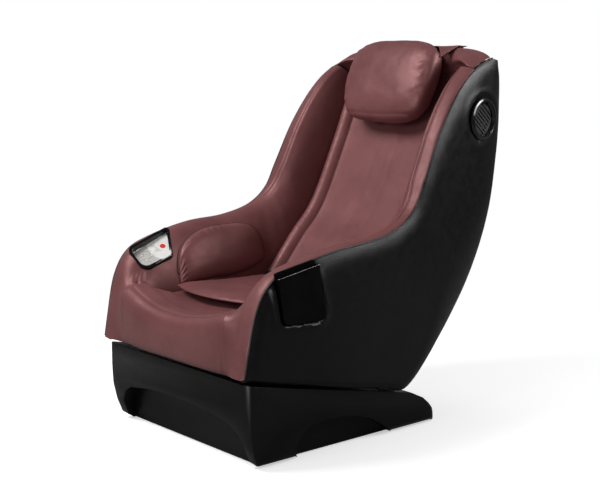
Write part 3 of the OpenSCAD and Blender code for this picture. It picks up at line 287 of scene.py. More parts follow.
def grid_normals(g):
    du = np.gradient(g, axis=0)
    dv = np.gradient(g, axis=1)
    n = np.cross(dv, du)
    return n / (np.linalg.norm(n, axis=-1, keepdims=True) + 1e-9)


def lofted(name, rings, caps=True, sharp=None):
    """A closed skin over rows of rings, all with as many points."""
    rings = np.asarray(rings, float)
    n, m = rings.shape[:2]
    faces = []
    for i in range(n - 1):
        for j in range(m):
            k = (j + 1) % m
            faces.append([i * m + j, i * m + k, (i + 1) * m + k, (i + 1) * m + j])
    if caps:
        faces.append(list(range(m))[::-1])
        faces.append([(n - 1) * m + j for j in range(m)])
    return add_mesh(name, rings.reshape(-1, 3), faces, sharp)


def outward(ob):
    bm = bmesh.new()
    bm.from_mesh(ob.data)
    bmesh.ops.recalc_face_normals(bm, faces=bm.faces)
    bm.to_mesh(ob.data)
    bm.free()
    return ob


def pipe(name, pts, r, sides=8, closed=False):
    """A round bead along points in mm."""
    p = np.asarray(pts, float)
    n = len(p)
    tan = np.gradient(p, axis=0)
    if closed:
        tan = np.roll(p, -1, 0) - np.roll(p, 1, 0)
    tan /= np.linalg.norm(tan, axis=1, keepdims=True) + 1e-9
    ref = np.cross(tan[0], [0.3, 0.2, 0.9])
    rings = []
    for i in range(n):
        ref = ref - tan[i] * (ref @ tan[i])
        ref /= np.linalg.norm(ref) + 1e-9
        side = np.cross(tan[i], ref)
        a = np.arange(sides) * 2 * math.pi / sides
        rings.append(p[i] + r * (np.cos(a)[:, None] * ref + np.sin(a)[:, None] * side))
    rings = np.array(rings)
    if closed:
        rings = np.concatenate([rings, rings[:1]])
    return lofted(name, rings, caps=not closed)


STITCH_PITCH, STITCH_LENGTH, STITCH_RADIUS = 6.5, 4.4, 0.55


def stitches(name, pts, normals):
    """A row of short sewn stitches lying on a surface along a line in mm."""
    both = np.concatenate([np.asarray(pts, float), np.asarray(normals, float)], 1)
    s = np.concatenate([[0], np.cumsum(np.linalg.norm(np.diff(both[:, :3], axis=0), axis=1))])
    verts, faces = [], []
    for k in np.arange(STITCH_PITCH, s[-1] - STITCH_PITCH, STITCH_PITCH):
        row = np.array([[np.interp(k + e * STITCH_LENGTH / 2, s, both[:, i]) for i in range(6)]
                        for e in (-1, -0.6, 0.6, 1)])
        t = unit(row[3, :3] - row[0, :3])
        n = unit(row[1, 3:])
        b = np.cross(t, n)
        base = len(verts)
        for e in range(4):
            rr, lift = (STITCH_RADIUS * 0.5, -0.25) if e in (0, 3) else (STITCH_RADIUS, 0.15)
            for a in range(6):
                v = a * math.pi / 3
                verts.append(row[e, :3] + n * lift + rr * (math.cos(v) * b + math.sin(v) * n))
        for e in range(3):
            for a in range(6):
                c = (a + 1) % 6
                faces.append([base + e * 6 + k for k in (a, c, 6 + c, 6 + a)])
        faces.append([base + a for a in range(5, -1, -1)])
        faces.append([base + 18 + a for a in range(6)])
    return add_mesh(name, verts, faces)


def join(name, parts):
    bpy.ops.object.select_all(action="DESELECT")
    for p in parts:
        p.select_set(True)
    bpy.context.view_layer.objects.active = parts[0]
    bpy.ops.object.join()
    ob = bpy.context.view_layer.objects.active
    ob.name = name
    ob.data.name = name
    return ob


def mirror_x(ob, name):
    """A copy of a piece on the other side of the chair."""
    me = ob.data.copy()
    me.name = name
    co = np.zeros(len(me.vertices) * 3)
    me.vertices.foreach_get("co", co)
    co = co.reshape(-1, 3)
    co[:, 0] *= -1
    me.vertices.foreach_set("co", co.ravel())
    me.flip_normals()
    me.update()
    new = bpy.data.objects.new(name, me)
    bpy.context.scene.collection.objects.link(new)
    return new


def apply_modifiers(ob):
    bpy.context.view_layer.update()
    me = bpy.data.meshes.new_from_object(ob.evaluated_get(bpy.context.evaluated_depsgraph_get()))
    ob.modifiers.clear()
    ob.data = me


def cut(ob, cutter):
    m = ob.modifiers.new("cut", "BOOLEAN")
    m.operation = "DIFFERENCE"
    m.solver = "EXACT"
    m.object = cutter
    apply_modifiers(ob)
    bpy.data.objects.remove(cutter)
    ob.data.polygons.foreach_set("use_smooth", [True] * len(ob.data.polygons))


def prism(name, f, poly, low, high):
    poly = np.asarray(poly)
    rows = [place(f, np.column_stack([poly, np.full(len(poly), z)])) for z in (low, high)]
    return outward(lofted(name, rows))


def near_line(p, line):
    """Distance of every point of p, flattened, to a polyline, in mm."""
    shape = p.shape[:-1]
    q = p.reshape(-1, p.shape[-1])
    best = np.full(len(q), 1e9)
    for a, b in zip(line[:-1], line[1:]):
        ab = b - a
        k = clamp(((q - a) @ ab) / (ab @ ab + 1e-9))
        best = np.minimum(best, np.linalg.norm(q - a - k[:, None] * ab, axis=1))
    return best.reshape(shape)


def inside(p, poly):
    """Whether 2-D points lie in a closed outline."""
    x, y = p[..., 0], p[..., 1]
    hit = np.zeros(x.shape, bool)
    for a, b in zip(poly, np.roll(poly, -1, 0)):
        cross = (a[1] > y) != (b[1] > y)
        with np.errstate(divide="ignore", invalid="ignore"):
            hit ^= cross & (x < (b[0] - a[0]) * (y - a[1]) / (b[1] - a[1] + 1e-12) + a[0])
    return hit


def fbm(p, size, seed=0.0, octaves=3):
    """Smooth noise of points in mm, about -1 to 1."""
    q = p.reshape(-1, 3) / size
    off = Vector((seed * 7.31, seed * 3.17, seed * 5.77))
    out = np.array([noise.fractal(Vector(v) + off, 1.0, 2.0, octaves) for v in q])
    return out.reshape(p.shape[:-1])


# ---- materials ----


def srgb(*rgb):
    return tuple(c / 255 / 12.92 if c <= 10 else ((c / 255 + 0.055) / 1.055) ** 2.4 for c in rgb) + (1.0,)


def lighter(colour, by):
    return srgb(*[min(255, c + by) for c in colour])


class Nodes:
    """A material and what its nodes are made with."""

    def __init__(self, name):
        self.mat = bpy.data.materials.new(name)
        self.mat.use_nodes = True
        self.tree = self.mat.node_tree
        self.bsdf = self.tree.nodes["Principled BSDF"]
        self.coord = self.tree.nodes.new("ShaderNodeTexCoord").outputs["Object"]

    def add(self, kind, **inputs):
        node = self.tree.nodes.new("ShaderNode" + kind)
        for k, v in inputs.items():
            target = node.inputs.get(k)
            if target is None:
                setattr(node, k, v)
            elif isinstance(v, bpy.types.NodeSocket):
                self.tree.links.new(v, target)
            else:
                target.default_value = v
        return node

    def noise(self, scale, detail=3.0, rough=0.5, vector=None):
        return self.add("TexNoise", Vector=vector or self.coord, Scale=scale, Detail=detail,
                        Roughness=rough).outputs["Fac"]

    def ramp(self, fac, stops):
        n = self.add("ValToRGB", Fac=fac)
        e = n.color_ramp.elements
        while len(e) < len(stops):
            e.new(0.5)
        for el, (pos, col) in zip(e, stops):
            el.position = pos
            el.color = col
        return n.outputs["Color"]

    def math(self, op, a, b):
        n = self.tree.nodes.new("ShaderNodeMath")
        n.operation = op
        for i, v in enumerate((a, b)):
            if isinstance(v, bpy.types.NodeSocket):
                self.tree.links.new(v, n.inputs[i])
            else:
                n.inputs[i].default_value = v
        return n.outputs[0]

    def joined(self, kind, *outs):
        """A node with its first sockets linked to outs."""
        node = self.add(kind)
        for i, out in enumerate(outs):
            self.tree.links.new(out, node.inputs[i])
        return node

    def spread(self, fac, low, high):
        """Noise from 0.3 to 0.7 as values from low to high."""
        n = self.add("MapRange", Value=fac)
        n.inputs["From Min"].default_value = 0.3
        n.inputs["From Max"].default_value = 0.7
        n.inputs["To Min"].default_value = low
        n.inputs["To Max"].default_value = high
        return n.outputs["Result"]

    def link(self, socket, out):
        self.tree.links.new(out, self.bsdf.inputs[socket])

    def fix(self, **values):
        """Values of the surface's own inputs, with _ for a space."""
        for k, v in values.items():
            self.bsdf.inputs[k.replace("_", " ")].default_value = v

    def bump(self, *layers):
        last = None
        for height, strength, distance in layers:
            n = self.tree.nodes.new("ShaderNodeBump")
            n.inputs["Strength"].default_value = strength
            n.inputs["Distance"].default_value = distance
            self.tree.links.new(height, n.inputs["Height"])
            if last is not None:
                self.tree.links.new(last, n.inputs["Normal"])
            last = n.outputs["Normal"]
        self.link("Normal", last)


def grey(v):
    return (v, v, v, 1)


def leather(name, tones, rough, grain=900.0, grain_strength=0.28, gloss=0.35, tint=(1, 1, 1, 1)):
    """Dyed hide: a tone that wanders over three colours, fine creases and pores."""
    m = Nodes(name)
    dark, mid, light = [srgb(*tone) for tone in tones]
    blotch = m.noise(5.5, 4.0, 0.6)
    fine = m.noise(160.0, 3.0, 0.6)
    tone = m.math("ADD", m.math("MULTIPLY", blotch, 0.75), m.math("MULTIPLY", fine, 0.25))
    m.link("Base Color", m.ramp(tone, [(0.3, dark), (0.52, mid), (0.74, light)]))
    m.link("Roughness", m.spread(m.noise(38.0, 3.0), *rough))
    m.fix(Specular_IOR_Level=gloss, Specular_Tint=tint)
    cells = m.add("TexVoronoi", Vector=m.coord, Scale=grain, feature="DISTANCE_TO_EDGE").outputs["Distance"]
    pores = m.ramp(cells, [(0.0, grey(0.0)), (0.18, grey(0.8)), (0.6, grey(1.0))])
    m.bump((m.noise(17.0, 3.0, 0.5), 0.10, 0.004), (m.noise(75.0, 2.0, 0.5), 0.10, 0.0012),
           (pores, grain_strength, 0.00018))
    return m


def plastic(name, colour, rough, strength=0.05, coat=0.0, specular=0.3):
    m = Nodes(name)
    m.link("Base Color", m.ramp(m.noise(9.0, 4.0), [(0.35, srgb(*colour)), (0.7, lighter(colour, 7))]))
    m.link("Roughness", m.spread(m.noise(26.0, 4.0, 0.6), *rough))
    m.bump((m.noise(420.0, 2.0, 0.6), strength, 0.0004), (m.noise(3.0, 2.0), 0.05, 0.01))
    m.fix(Coat_Weight=coat, Specular_IOR_Level=specular, Coat_Roughness=0.12)
    return m


def metal(name, colour, rough):
    m = Nodes(name)
    mapping = m.add("Mapping", Vector=m.coord)
    mapping.inputs["Scale"].default_value = (4, 4, 220)
    lines = m.noise(12.0, 3.0, 0.6, mapping.outputs["Vector"])
    m.link("Base Color", m.ramp(m.noise(14.0, 3.0), [(0.3, srgb(*colour)), (0.7, lighter(colour, 16))]))
    m.link("Roughness", m.spread(lines, *rough))
    m.fix(Metallic=1.0)
    m.bump((lines, 0.08, 0.0003))
    return m


LEATHER = leather("burgundy leather", ((101, 61, 62), (115, 71, 72), (127, 81, 81)), (0.34, 0.46), gloss=0.55,
                  tint=(0.95, 0.5, 0.48, 1))
BLACK_LEATHER = leather("black leather", ((8, 8, 8), (12, 12, 12), (17, 17, 17)), (0.3, 0.38), grain=800.0,
                        grain_strength=0.2, gloss=0.2)
PIPING = leather("black piping", ((9, 9, 9), (13, 13, 13), (18, 18, 18)), (0.3, 0.4), grain=1400.0)
# colour of the thread, also put on the hip pads' piping, where its darker tone is painted shade of the groove
# between pad and wing
THREAD_AND_SEAM_SHADE = leather("burgundy thread and seam shade", ((72, 44, 45), (84, 52, 53), (96, 62, 62)), (0.6, 0.7), grain=2600.0)
BASE = plastic("base plastic", (7, 6, 6), rough=(0.3, 0.4), strength=0.08, specular=0.2)
GLOSS = plastic("gloss black", (4, 4, 4), rough=(0.12, 0.2), strength=0.01, coat=0.4)
POCKET_BLACK = plastic("pocket black", (2, 2, 2), rough=(0.3, 0.4), strength=0.01, specular=0.08)
INK = plastic("key marks", (92, 80, 76), rough=(0.5, 0.6))
# satin metal of the bezel's rim, also put on the phone pocket's front lip as a painted highlight
RIM_AND_LIP_HIGHLIGHT = metal("satin rim and lip highlight", (150, 150, 152), rough=(0.2, 0.32))
STEEL = metal("frame steel", (112, 114, 118), rough=(0.35, 0.5))
BRIGHT = metal("bright steel", (170, 172, 176), rough=(0.18, 0.3))
MOTOR = plastic("motor housing", (30, 31, 33), rough=(0.4, 0.55), strength=0.2)
RUBBER = plastic("rubber", (24, 24, 24), rough=(0.6, 0.75), strength=0.3)
ROLLER = plastic("roller rubber", (58, 60, 64), rough=(0.5, 0.62), strength=0.2)
KEY = plastic("key grey", (196, 196, 192), rough=(0.4, 0.5), strength=0.05)
RED = plastic("power red", (206, 52, 46), rough=(0.25, 0.35), strength=0.03, coat=0.3)


def speaker_cloth():
    m = Nodes("speaker mesh")
    cells = m.add("TexVoronoi", Vector=m.coord, Scale=420.0).outputs["Distance"]
    holes = m.ramp(cells, [(0.28, grey(0.0)), (0.42, grey(1.0))])
    m.link("Base Color", m.ramp(cells, [(0.28, srgb(8, 8, 8)), (0.45, srgb(42, 42, 43))]))
    m.fix(Roughness=0.5, Metallic=0.4)
    m.bump((holes, 0.5, 0.0006))
    return m


def panel_face():
    """White key panel; a grey speckled field lies in front of an arc across it."""
    m = Nodes("key panel")
    o, u, v, n = BEZEL
    field = m.add("TexVoronoi", Vector=m.coord, Scale=330.0).outputs["Distance"]
    speck = m.ramp(field, [(0.2, srgb(150, 146, 144)), (0.5, srgb(196, 193, 190))])
    clean = m.ramp(m.noise(30.0, 3.0), [(0.3, srgb(222, 221, 217)), (0.7, srgb(232, 231, 228))])
    centre, arc = (o + u * 66 + v * 4 - n * 1) * MM, 0.075
    shift = m.add("VectorMath", operation="DISTANCE")
    m.tree.links.new(m.coord, shift.inputs[0])
    shift.inputs[1].default_value = tuple(centre)
    far = m.ramp(shift.outputs["Value"], [(arc - 0.0005, grey(0.0)), (arc + 0.0005, grey(1.0))])
    blend = m.tree.nodes.new("ShaderNodeMix")
    blend.data_type = "RGBA"
    m.tree.links.new(far, blend.inputs["Factor"])
    m.tree.links.new(clean, blend.inputs[6])
    m.tree.links.new(speck, blend.inputs[7])
    m.link("Base Color", blend.outputs[2])
    m.fix(Roughness=0.3)
    m.bump((m.noise(500.0, 2.0), 0.04, 0.0003))
    return m


MESH_CLOTH = speaker_cloth()
PANEL = panel_face()


def dress(ob, mat, body="chair_body"):
    ob.data.materials.clear()
    ob.data.materials.append(mat.mat)
    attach(ob, body)


def upholster(ob, node, body="chair_body"):
    """Leather over padding in place of a node."""
    dress(ob, LEATHER, body)
    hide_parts(node)


def sew(name, line, normals):
    dress(stitches(name, line, normals), THREAD_AND_SEAM_SHADE)


# ---- side panels ----


def side_panel(side):
    t = mix(0.015, 1.0, np.linspace(0, 1, 150))[:, None]
    c = chord(t)
    roll, wall = np.minimum(60, 0.5 * c), np.minimum(12, 0.25 * c)
    flat_end = c - curl_d(t)
    cols = []
    for s in (0, 0.03, 0.07, 0.12, 0.18, 0.26, 0.35, 0.46, 0.58, 0.7, 0.85):
        cols.append(panel_point(t, roll * s, 0))
    for s in np.linspace(0, 1, 34)[:-1]:
        cols.append(panel_point(t, mix(roll, flat_end, s), 0))
    for a in np.linspace(0, 90, 14):
        cols.append(curl_point(t, a, 0 * c))
    outer = np.concatenate(cols, 1)
    # the leather is pulled over foam: shallow waves, a dish round the speaker and a lip round the pocket
    h = 1.1 * fbm(outer, 170.0, 3.0, 2) + 0.35 * fbm(outer, 45.0, 5.0, 2)
    sp = local(SPEAKER, outer)
    r = np.hypot(sp[..., 0], sp[..., 1])
    dish = 3.4 * np.exp(-((r - 82) / 11) ** 2) - 3.0 * np.exp(-((r - 66) / 7) ** 2)
    h += np.where(np.abs(sp[..., 2]) < 60, dish, 0)
    if side > 0:
        po = local(POCKET, outer)
        line = pocket_outline(0, 5)
        dist = near_line(po[..., :2], np.vstack([line, line[:1]]))
        out, close = ~inside(po[..., :2], line), np.abs(po[..., 2]) < 50
        low = ease((64 - po[..., 1]) / 60)
        h += np.where(close & out, 8.5 * low * np.exp(-((dist - 11) / 9) ** 2), 0)
        h = np.where(~out & close, h - 2, h)
    col, row = np.arange(outer.shape[1]), np.arange(len(t))
    fade = ease(np.minimum(1, np.minimum(col / 4, col[::-1] / 5)))[None, :]
    ends = ease(np.minimum(row, row[::-1]) / 5)[:, None]
    n = grid_normals(outer)
    n = n * np.sign(n[..., :1].mean())
    outer = outer + n * (h * fade * ends)[..., None]
    back = [curl_point(t, a, wall) for a in (90, 60, 30, 0)]
    back += [panel_point(t, mix(roll, flat_end, s), wall) for s in (0.5, 0)]
    back += [panel_point(t, roll * s, wall) for s in (0.35, 0)]
    rings = np.concatenate([outer] + back, 1)
    ob = outward(lofted("side_panel_leather_" + hand(side), rings))
    a = np.linspace(0, 2 * math.pi, 49)[:-1]
    hole = SPEAKER_HOLE * np.column_stack([np.cos(a), np.sin(a)])
    cut(ob, prism("cutter", SPEAKER, hole, -40, 20))
    if side > 0:
        cut(ob, prism("cutter", POCKET, pocket_outline(CUT_CLEAR), -40, 50))
    else:
        whole = ob
        ob = mirror_x(whole, whole.name + "_m")
        bpy.data.objects.remove(whole)
        cut(ob, prism("cutter", BEZEL, bezel_outline(CUT_CLEAR), BEZEL_DEPTH, 60))
    ob.data.set_sharp_from_angle(angle=math.radians(50))
    dress(ob, BLACK_LEATHER)
    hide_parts("side_panel_" + hand(side))


for side in (1, -1):
    side_panel(side)

# piping sewn between panel and arm
ts = np.linspace(0.016, 0.998, 240)
for side in (1, -1):
    p = arm_edge(ts, 0.2, -0.6)
    p[:, 0] += 1.4
    p[:, 0] *= side
    dress(pipe("edge_piping_" + hand(side), p, 2.6), PIPING)

# ---- back cover ----
COVER_T, COVER_THICK, VENTS, VENT_STEP = 7.25 / SPANS, 6, 7, 14.0
t = mix(COVER_T, 0.985, np.linspace(0, 1, 70))[:, None]
s = np.linspace(-1, 1, 61)[None, :]
q, nn = hem(t), normal2(HEM, t)
xe = side_x(q[..., 0]) + crown(t) - curl_x(t) - 0.6
b = mix(2, 18, clamp((t - COVER_T) * 5)) * (1 - s * s)
cover = np.stack([s * xe, q[..., 0] + nn[..., 0] * b, q[..., 1] + nn[..., 1] * b], -1)
away = np.stack([0 * b, nn[..., 0] + 0 * b, nn[..., 1] + 0 * b], -1)
cover = cover + away * (0.5 * fbm(cover, 190.0, 8.0, 2))[..., None]
under = cover - away * COVER_THICK
back_cover = outward(lofted("back_cover_shell", np.concatenate([cover, under[:, ::-1]], 1)))
vent = outline([[-75, -3], [75, -3], [75, 3], [-75, 3]], [2.9] * 4, 0, 5)
for i in range(VENTS):
    at = np.array([0, 420, 430 + VENT_STEP * i])
    f = (at, np.array([1.0, 0, 0]), np.array([0, 0, 1.0]), np.array([0, -1.0, 0]))
    cut(back_cover, prism("cutter", f, vent, -30, 30))
back_cover.data.set_sharp_from_angle(angle=math.radians(40))
dress(back_cover, BASE)
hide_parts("back_cover")

# ---- arms and wings ----


def seam_z(s):
    return 384 + 48 * s * s


def front_ring(s):
    """Outer line of the seat front, from its foot over the seam to the cushion."""
    f = -557 + 8 * abs(s) ** 4
    m = seam_z(s)
    return np.array([[248, f + 11, 259], [248, f + 2, 274], [248, f, 320], [248, f + 1, m - 42],
                     [248, f + 12, m - 13], [246, f + 37, m], [241, f + 68, m + 5],
                     [236, -465, m + 5]], float)


CREASE = np.array([[-452, 508], [-470, 470], [-484, 440], [-490, 412], [-487, 384]], float)
# columns of the arm: over the band by the piping, then down the wing face
BAND = (0, 8, 18, 30, 42, 54, 64, 72, 79, 85)
FACE = np.concatenate([[0, 0.7, 1.5, 2.5, 4, 6, 8.5], np.linspace(11, 90, 56)])
COL = np.concatenate([np.zeros(len(BAND)), FACE])[None, :]
SEAM_FROM, PAD_THICK = 7.2, 26


def arm_surface():
    t = mix(0.015, 12 / SPANS - 0.002, np.linspace(0, 1, 230))[:, None]
    band, h = arm_band(t), arm_swell(t)
    cols = []
    p = edge(t)
    qd = inner(t) - p
    qd = qd / np.linalg.norm(qd, axis=-1, keepdims=True)
    for a in BAND:
        phi = math.radians(a)
        x = side_x(p[..., 0]) - 0.3 - (band - 0.3) * (1 - math.cos(phi))
        d = -0.6 - (h - 0.6) * math.sin(phi)
        cols.append(np.stack([x, p[..., 0] + qd[..., 0] * d, p[..., 1] + qd[..., 1] * d], -1))
    for a in FACE:
        cols.append(arm_point(t, a))
    g = np.concatenate(cols, 1)
    # the foot of the padding runs into the end of the seat front, which it is sewn to
    st = t * SPANS
    foot = along(front_ring(1.0)[:, 1:], np.interp(st[:, 0], [0.2, 1, 2, 3], [0, 0.3, 0.62, 1]))
    narrow, wide = ease((COL - 26) / 64), ease((np.sin(np.radians(COL)) - 0.2) / 0.8)
    w = mix(wide, narrow, ease((st - 1.5) / 1.3)) * ease((3.35 - st) / 0.4)
    g[..., 1:] = mix(g[..., 1:], foot[:, None], w[..., None])
    g[..., 0] -= 2.2 * ease((COL - 74) / 16) * ease((3.35 - st) / 0.4)
    return t, g


def arm_wing(side):
    t, g = arm_surface()
    n = grid_normals(g)
    n = n * np.sign(n[:, 20, 2].mean())
    st = t * SPANS
    # seam between the band and the wing face, fading out on the arm
    across = np.linalg.norm(g - g[:, len(BAND):len(BAND) + 1], axis=-1)
    on = ease((st - 6.4) / 0.9)
    h = -2.0 * on * np.exp(-(across / 2.6) ** 2) + 1.2 * on * np.exp(-((across - 11) / 8) ** 2)
    # soft waves, and gathers where the wing turns into the arm
    h = h + 1.3 * fbm(g, 150.0, 1.0, 2) + 0.4 * fbm(g, 42.0, 2.0, 2)
    bend = np.exp(-((st - 7.0) / 0.9) ** 2) * ease((COL - 12) / 25) * ease((86 - COL) / 20)
    h = h + bend * 0.45 * np.sin(st * 13 + 1.5 * fbm(g, 90.0, 4.0, 1))
    # fold that runs down the front of the arm into the seat seam
    d = near_line(g[..., 1:], CREASE)
    front = ease((st - 0.9) / 0.5) * ease((3.6 - st) / 0.4) * ease((COL - 38) / 14)
    h = h + front * (-4.2 * np.exp(-(d / 4.5) ** 2) + 2.6 * np.exp(-((d - 13) / 8) ** 2))
    fade = ease(np.arange(g.shape[1]) / 3)[None, :] * ease((90 - COL) / 6)
    row = np.arange(len(t))
    ends = ease(np.minimum(row, row[::-1]) / 4)[:, None]
    g = g + n * (h * fade * ends)[..., None]
    swell = arm_swell(t)
    back = [arm_point(t, a, PAD_THICK) for a in (90, 72, 54, 36, 18)]
    back += [arm_edge(t, 16, PAD_THICK - swell), arm_edge(t, 12.6, PAD_THICK - 2 - swell),
             arm_edge(t, 12.6, -0.6)]
    rings = on_side(np.concatenate([g] + back, 1), side)
    ob = outward(lofted("arm_leather_" + hand(side), rings))
    if side < 0:
        cut(ob, prism("cutter", BEZEL, bezel_outline(CUT_CLEAR), BEZEL_DEPTH, 60))
    ob.data.set_sharp_from_angle(angle=math.radians(60))
    upholster(ob, "arm_wing_" + hand(side))
    # thread beside the wing seam
    rows = st[:, 0] > SEAM_FROM
    beside = len(BAND) + 2
    sew("wing_thread_" + hand(side), on_side(g[rows][:, beside], side), on_side(n[rows][:, beside], side))


for side in (1, -1):
    arm_wing(side)

# ---- seat front ----
FRONT_COLS, SEAM_V = 60, 5.0 / 7
ss = spaced(121, 0.92) / math.sin(math.pi / 2 * 0.92)
front = np.array([along(front_ring(s), np.linspace(0, 1, FRONT_COLS)) for s in ss])
front[..., 0] *= ss[:, None]
n = grid_normals(front)
n = n * np.sign(-n[60, 20, 1])
v = np.linspace(0, 1, FRONT_COLS)[None, :]
dist = (v - SEAM_V) * 190
h = -2.4 * np.exp(-(dist / 2.6) ** 2)
h = h + 1.5 * np.exp(-((dist + 10) / 8) ** 2) + 1.5 * np.exp(-((dist - 10) / 8) ** 2)
h = h + 1.6 * fbm(front, 130.0, 11.0, 2) + 0.4 * fbm(front, 40.0, 12.0, 2)
h = h + 3.0 * np.exp(-((v - 0.62) / 0.12) ** 2) * (1 - ss[:, None] ** 6)
h = h * ease(np.minimum(v * 14, (1 - v) * 14)) * ease((1 - np.abs(ss[:, None])) * 25)
front = front + n * h[..., None]
backs = []
for s in ss:
    m = seam_z(s)
    line = ((236, -465, m - 17), (240, -487, m - 18), (244, -511, m - 24), (247, -528, m - 42),
            (248, -531, 320), (248, -531, 259))
    backs.append([[x * s, y, z] for x, y, z in line])
rings = np.concatenate([front, np.array(backs)], 1)
upholster(outward(lofted("seat_front_leather", rings, sharp=60)), "seat_front")
k = int(round(SEAM_V * (FRONT_COLS - 1))) - 3
sew("seat_front_thread", front[4:-4, k], n[4:-4, k])

# ---- seat cushion ----


def cushion_top(s, v):
    return mix(seam_z(s) + 5, SEAT_Z + 5 * s * s + 3 * np.cos(math.pi * s), clamp(v * 6)) \
        - 8 * np.abs(s) ** 14 - 4 * v ** 20


CUSHION_HALF_W, CUSHION_FOOT = 234, 352.3
s = np.linspace(-1, 1, 91)[None, :]
v = np.linspace(0, 1, 90)[:, None]
y = mix(-464, -4, v) + 0 * s
top = np.stack([CUSHION_HALF_W * s + 0 * v, y, cushion_top(s, v)], -1)
h = 1.4 * fbm(top, 120.0, 21.0, 2) + 0.5 * fbm(top, 36.0, 22.0, 2)
h = h * ease((1 - np.abs(s)) * 12) * ease(np.minimum(v, 1 - v) * 14)
top[..., 2] += h
low = np.stack([CUSHION_HALF_W * s + 0 * v, y, np.full(y.shape, CUSHION_FOOT)], -1)[:, ::-1][:, ::9]
cushion = outward(lofted("seat_cushion_leather", np.concatenate([top, low], 1), sharp=60))
upholster(cushion, "seat_cushion")

# ---- seat flap ----


FLAP_HALF_W, FLAP_LENGTH = 205, 415


def flap_grid(s, v, upper):
    w = mix(196, FLAP_HALF_W, v)
    h = 20 * (1 - 0.62 * v ** 14) * (1 - 0.4 * (1 - v) ** 14)
    y = mix(-8, -426 + 54 * s * s, v)
    z = SEAT_Z + 3.6 + 16 * v ** 3
    if upper:
        z = z + h * (1 - 0.55 * np.abs(s) ** 16) + 3 * (1 - s * s)
    return np.stack([s * w, y + 0 * s, z + 0 * s], -1)


s, v = spaced(101)[None, :], (spaced(101)[:, None] + 1) / 2
top, low = flap_grid(s, v, True), flap_grid(s, v, False)
mid = (top + low) / 2
edge_d = np.minimum((1 - np.abs(s)) * FLAP_HALF_W, np.minimum(v, 1 - v) * FLAP_LENGTH)
round_off = np.sqrt(clamp(1 - (1 - clamp(edge_d / 13)) ** 2))
h = 1.5 * fbm(top, 110.0, 31.0, 2) + 0.6 * fbm(top, 34.0, 32.0, 2)
puck = 0.9 * np.exp(-(edge_d / 16) ** 2) * np.sin((s * FLAP_HALF_W + v * FLAP_LENGTH) / 7.0)
up = mid + (top - mid) * mix(0.12, 1.0, round_off)[..., None]
up[..., 2] += h * clamp(edge_d / 30) + puck * clamp(edge_d / 5)
dn = mid + (low - mid) * mix(0.12, 1.0, round_off)[..., None]
flap = outward(lofted("seat_flap_leather", np.concatenate([up, dn[:, ::-1][:, ::4]], 1)))
upholster(flap, "seat_flap", "flap")
ri = np.concatenate([mid[:, 0], mid[-1, 1:], mid[::-1, -1][1:]])
dress(pipe("seat_flap_piping", ri, 2.3), LEATHER, "flap")

# ---- backrest ----


def pad_half_w(t):
    return along(WALL[7:13], t) - 0.7


t = np.linspace(0, 1, 160)[:, None]
# depth of the pad at distances from its side edge: a rolled edge, the thread's groove, the face
prof_r = np.array([0, 1.5, 4, 7, 12, 18, 25, 34, 41, 46, 48.5, 50, 51.5, 54,
                   60, 70, 85, 105, 130, 160, 200])
EDGE_D = [22, 16, 10.5, 6.5, 2.2, 0.3, 0.4, 3.2, 9.0, 15.5, 20.5, 23.5, 22.0, 22.0]
FACE_D, THREAD_COL = 27, len(EDGE_D) - 1
prof_d = np.concatenate([EDGE_D, FACE_D - 5 * np.exp(-(prof_r[len(EDGE_D):] - 50) / 45)])
w = pad_half_w(t)
cols = [np.stack([r - w, d + 0 * w], -1) for r, d in zip(prof_r, prof_d)]
for m in np.linspace(-1, 1, 31)[1:-1]:
    cols.append(np.stack([(w - prof_r[-1]) * m, FACE_D + 0 * w], -1))
cols += [np.stack([w - r, d + 0 * w], -1) for r, d in zip(prof_r[::-1], prof_d[::-1])]
flat = np.concatenate([c.reshape(len(t), 1, 2) for c in cols], 1)
p, nn = along(BACK, t), normal2(BACK, t)
flat[..., 1] = mix(flat[..., 1], np.maximum(flat[..., 1], 23), ease((t - 0.955) / 0.045))
deep = flat[..., 1]
pad = np.stack([flat[..., 0], p[..., 0] + nn[..., 0] * deep, p[..., 1] + nn[..., 1] * deep], -1)
from_edge = w - np.abs(flat[..., 0])
h = 1.6 * fbm(pad, 150.0, 41.0, 2) + 0.5 * fbm(pad, 40.0, 42.0, 2)
roll_on = np.exp(-((from_edge - 20) / 15) ** 2)
gather = np.sin(np.cumsum(np.full(t.shape, 1.35), 0) + 2.2 * fbm(pad[:, :1], 60.0, 43.0, 2))
gather = gather * (0.5 + 0.5 * fbm(pad[:, :1], 80.0, 44.0, 1))
h = h * 0.8 + roll_on * 0.55 * gather
h = h * clamp(from_edge / 9) * ease(np.minimum(t, 1 - t) * 30)
pad[..., 1] -= nn[..., 0] * h
pad[..., 2] -= nn[..., 1] * h
# the pad runs on under the cap
onward = pad[-1] - pad[-2]
onward = onward / np.linalg.norm(onward, axis=-1, keepdims=True)
pad = np.concatenate([pad, np.array([pad[-1] + onward * k for k in (8, 18, 30, 42)])])
REAR_D = 60
across = np.linspace(1, -1, 9)[None, :] * w
rear = np.stack([across, p[..., 0] + nn[..., 0] * REAR_D + 0 * across,
                 p[..., 1] + nn[..., 1] * REAR_D + 0 * across], -1)
rear = np.concatenate([rear, np.array([rear[-1] + (rear[-1] - rear[-2]) * k for k in (1, 2, 3, 4)])])
backrest = outward(lofted("backrest_leather", np.concatenate([pad, rear], 1), sharp=70))
upholster(backrest, "backrest_pad")
for side in (1, -1):
    nrm = np.stack([0 * t[:, 0], -nn[:, 0, 0], -nn[:, 0, 1]], -1)[2:-2]
    sew("backrest_thread_" + hand(side), on_side(pad[2:len(t) - 2, THREAD_COL], -side), nrm)

# ---- hip pads ----


def arm_normal(t, a):
    up, down = arm_point(t, a - 3), arm_point(t, a + 3)
    fore, aft = arm_point(t - 0.01, a), arm_point(t + 0.01, a)
    n = -np.cross(down - up, aft - fore)
    return n / np.linalg.norm(n, axis=-1, keepdims=True)


HIP_THICK, HIP_FOOT = 26, 74


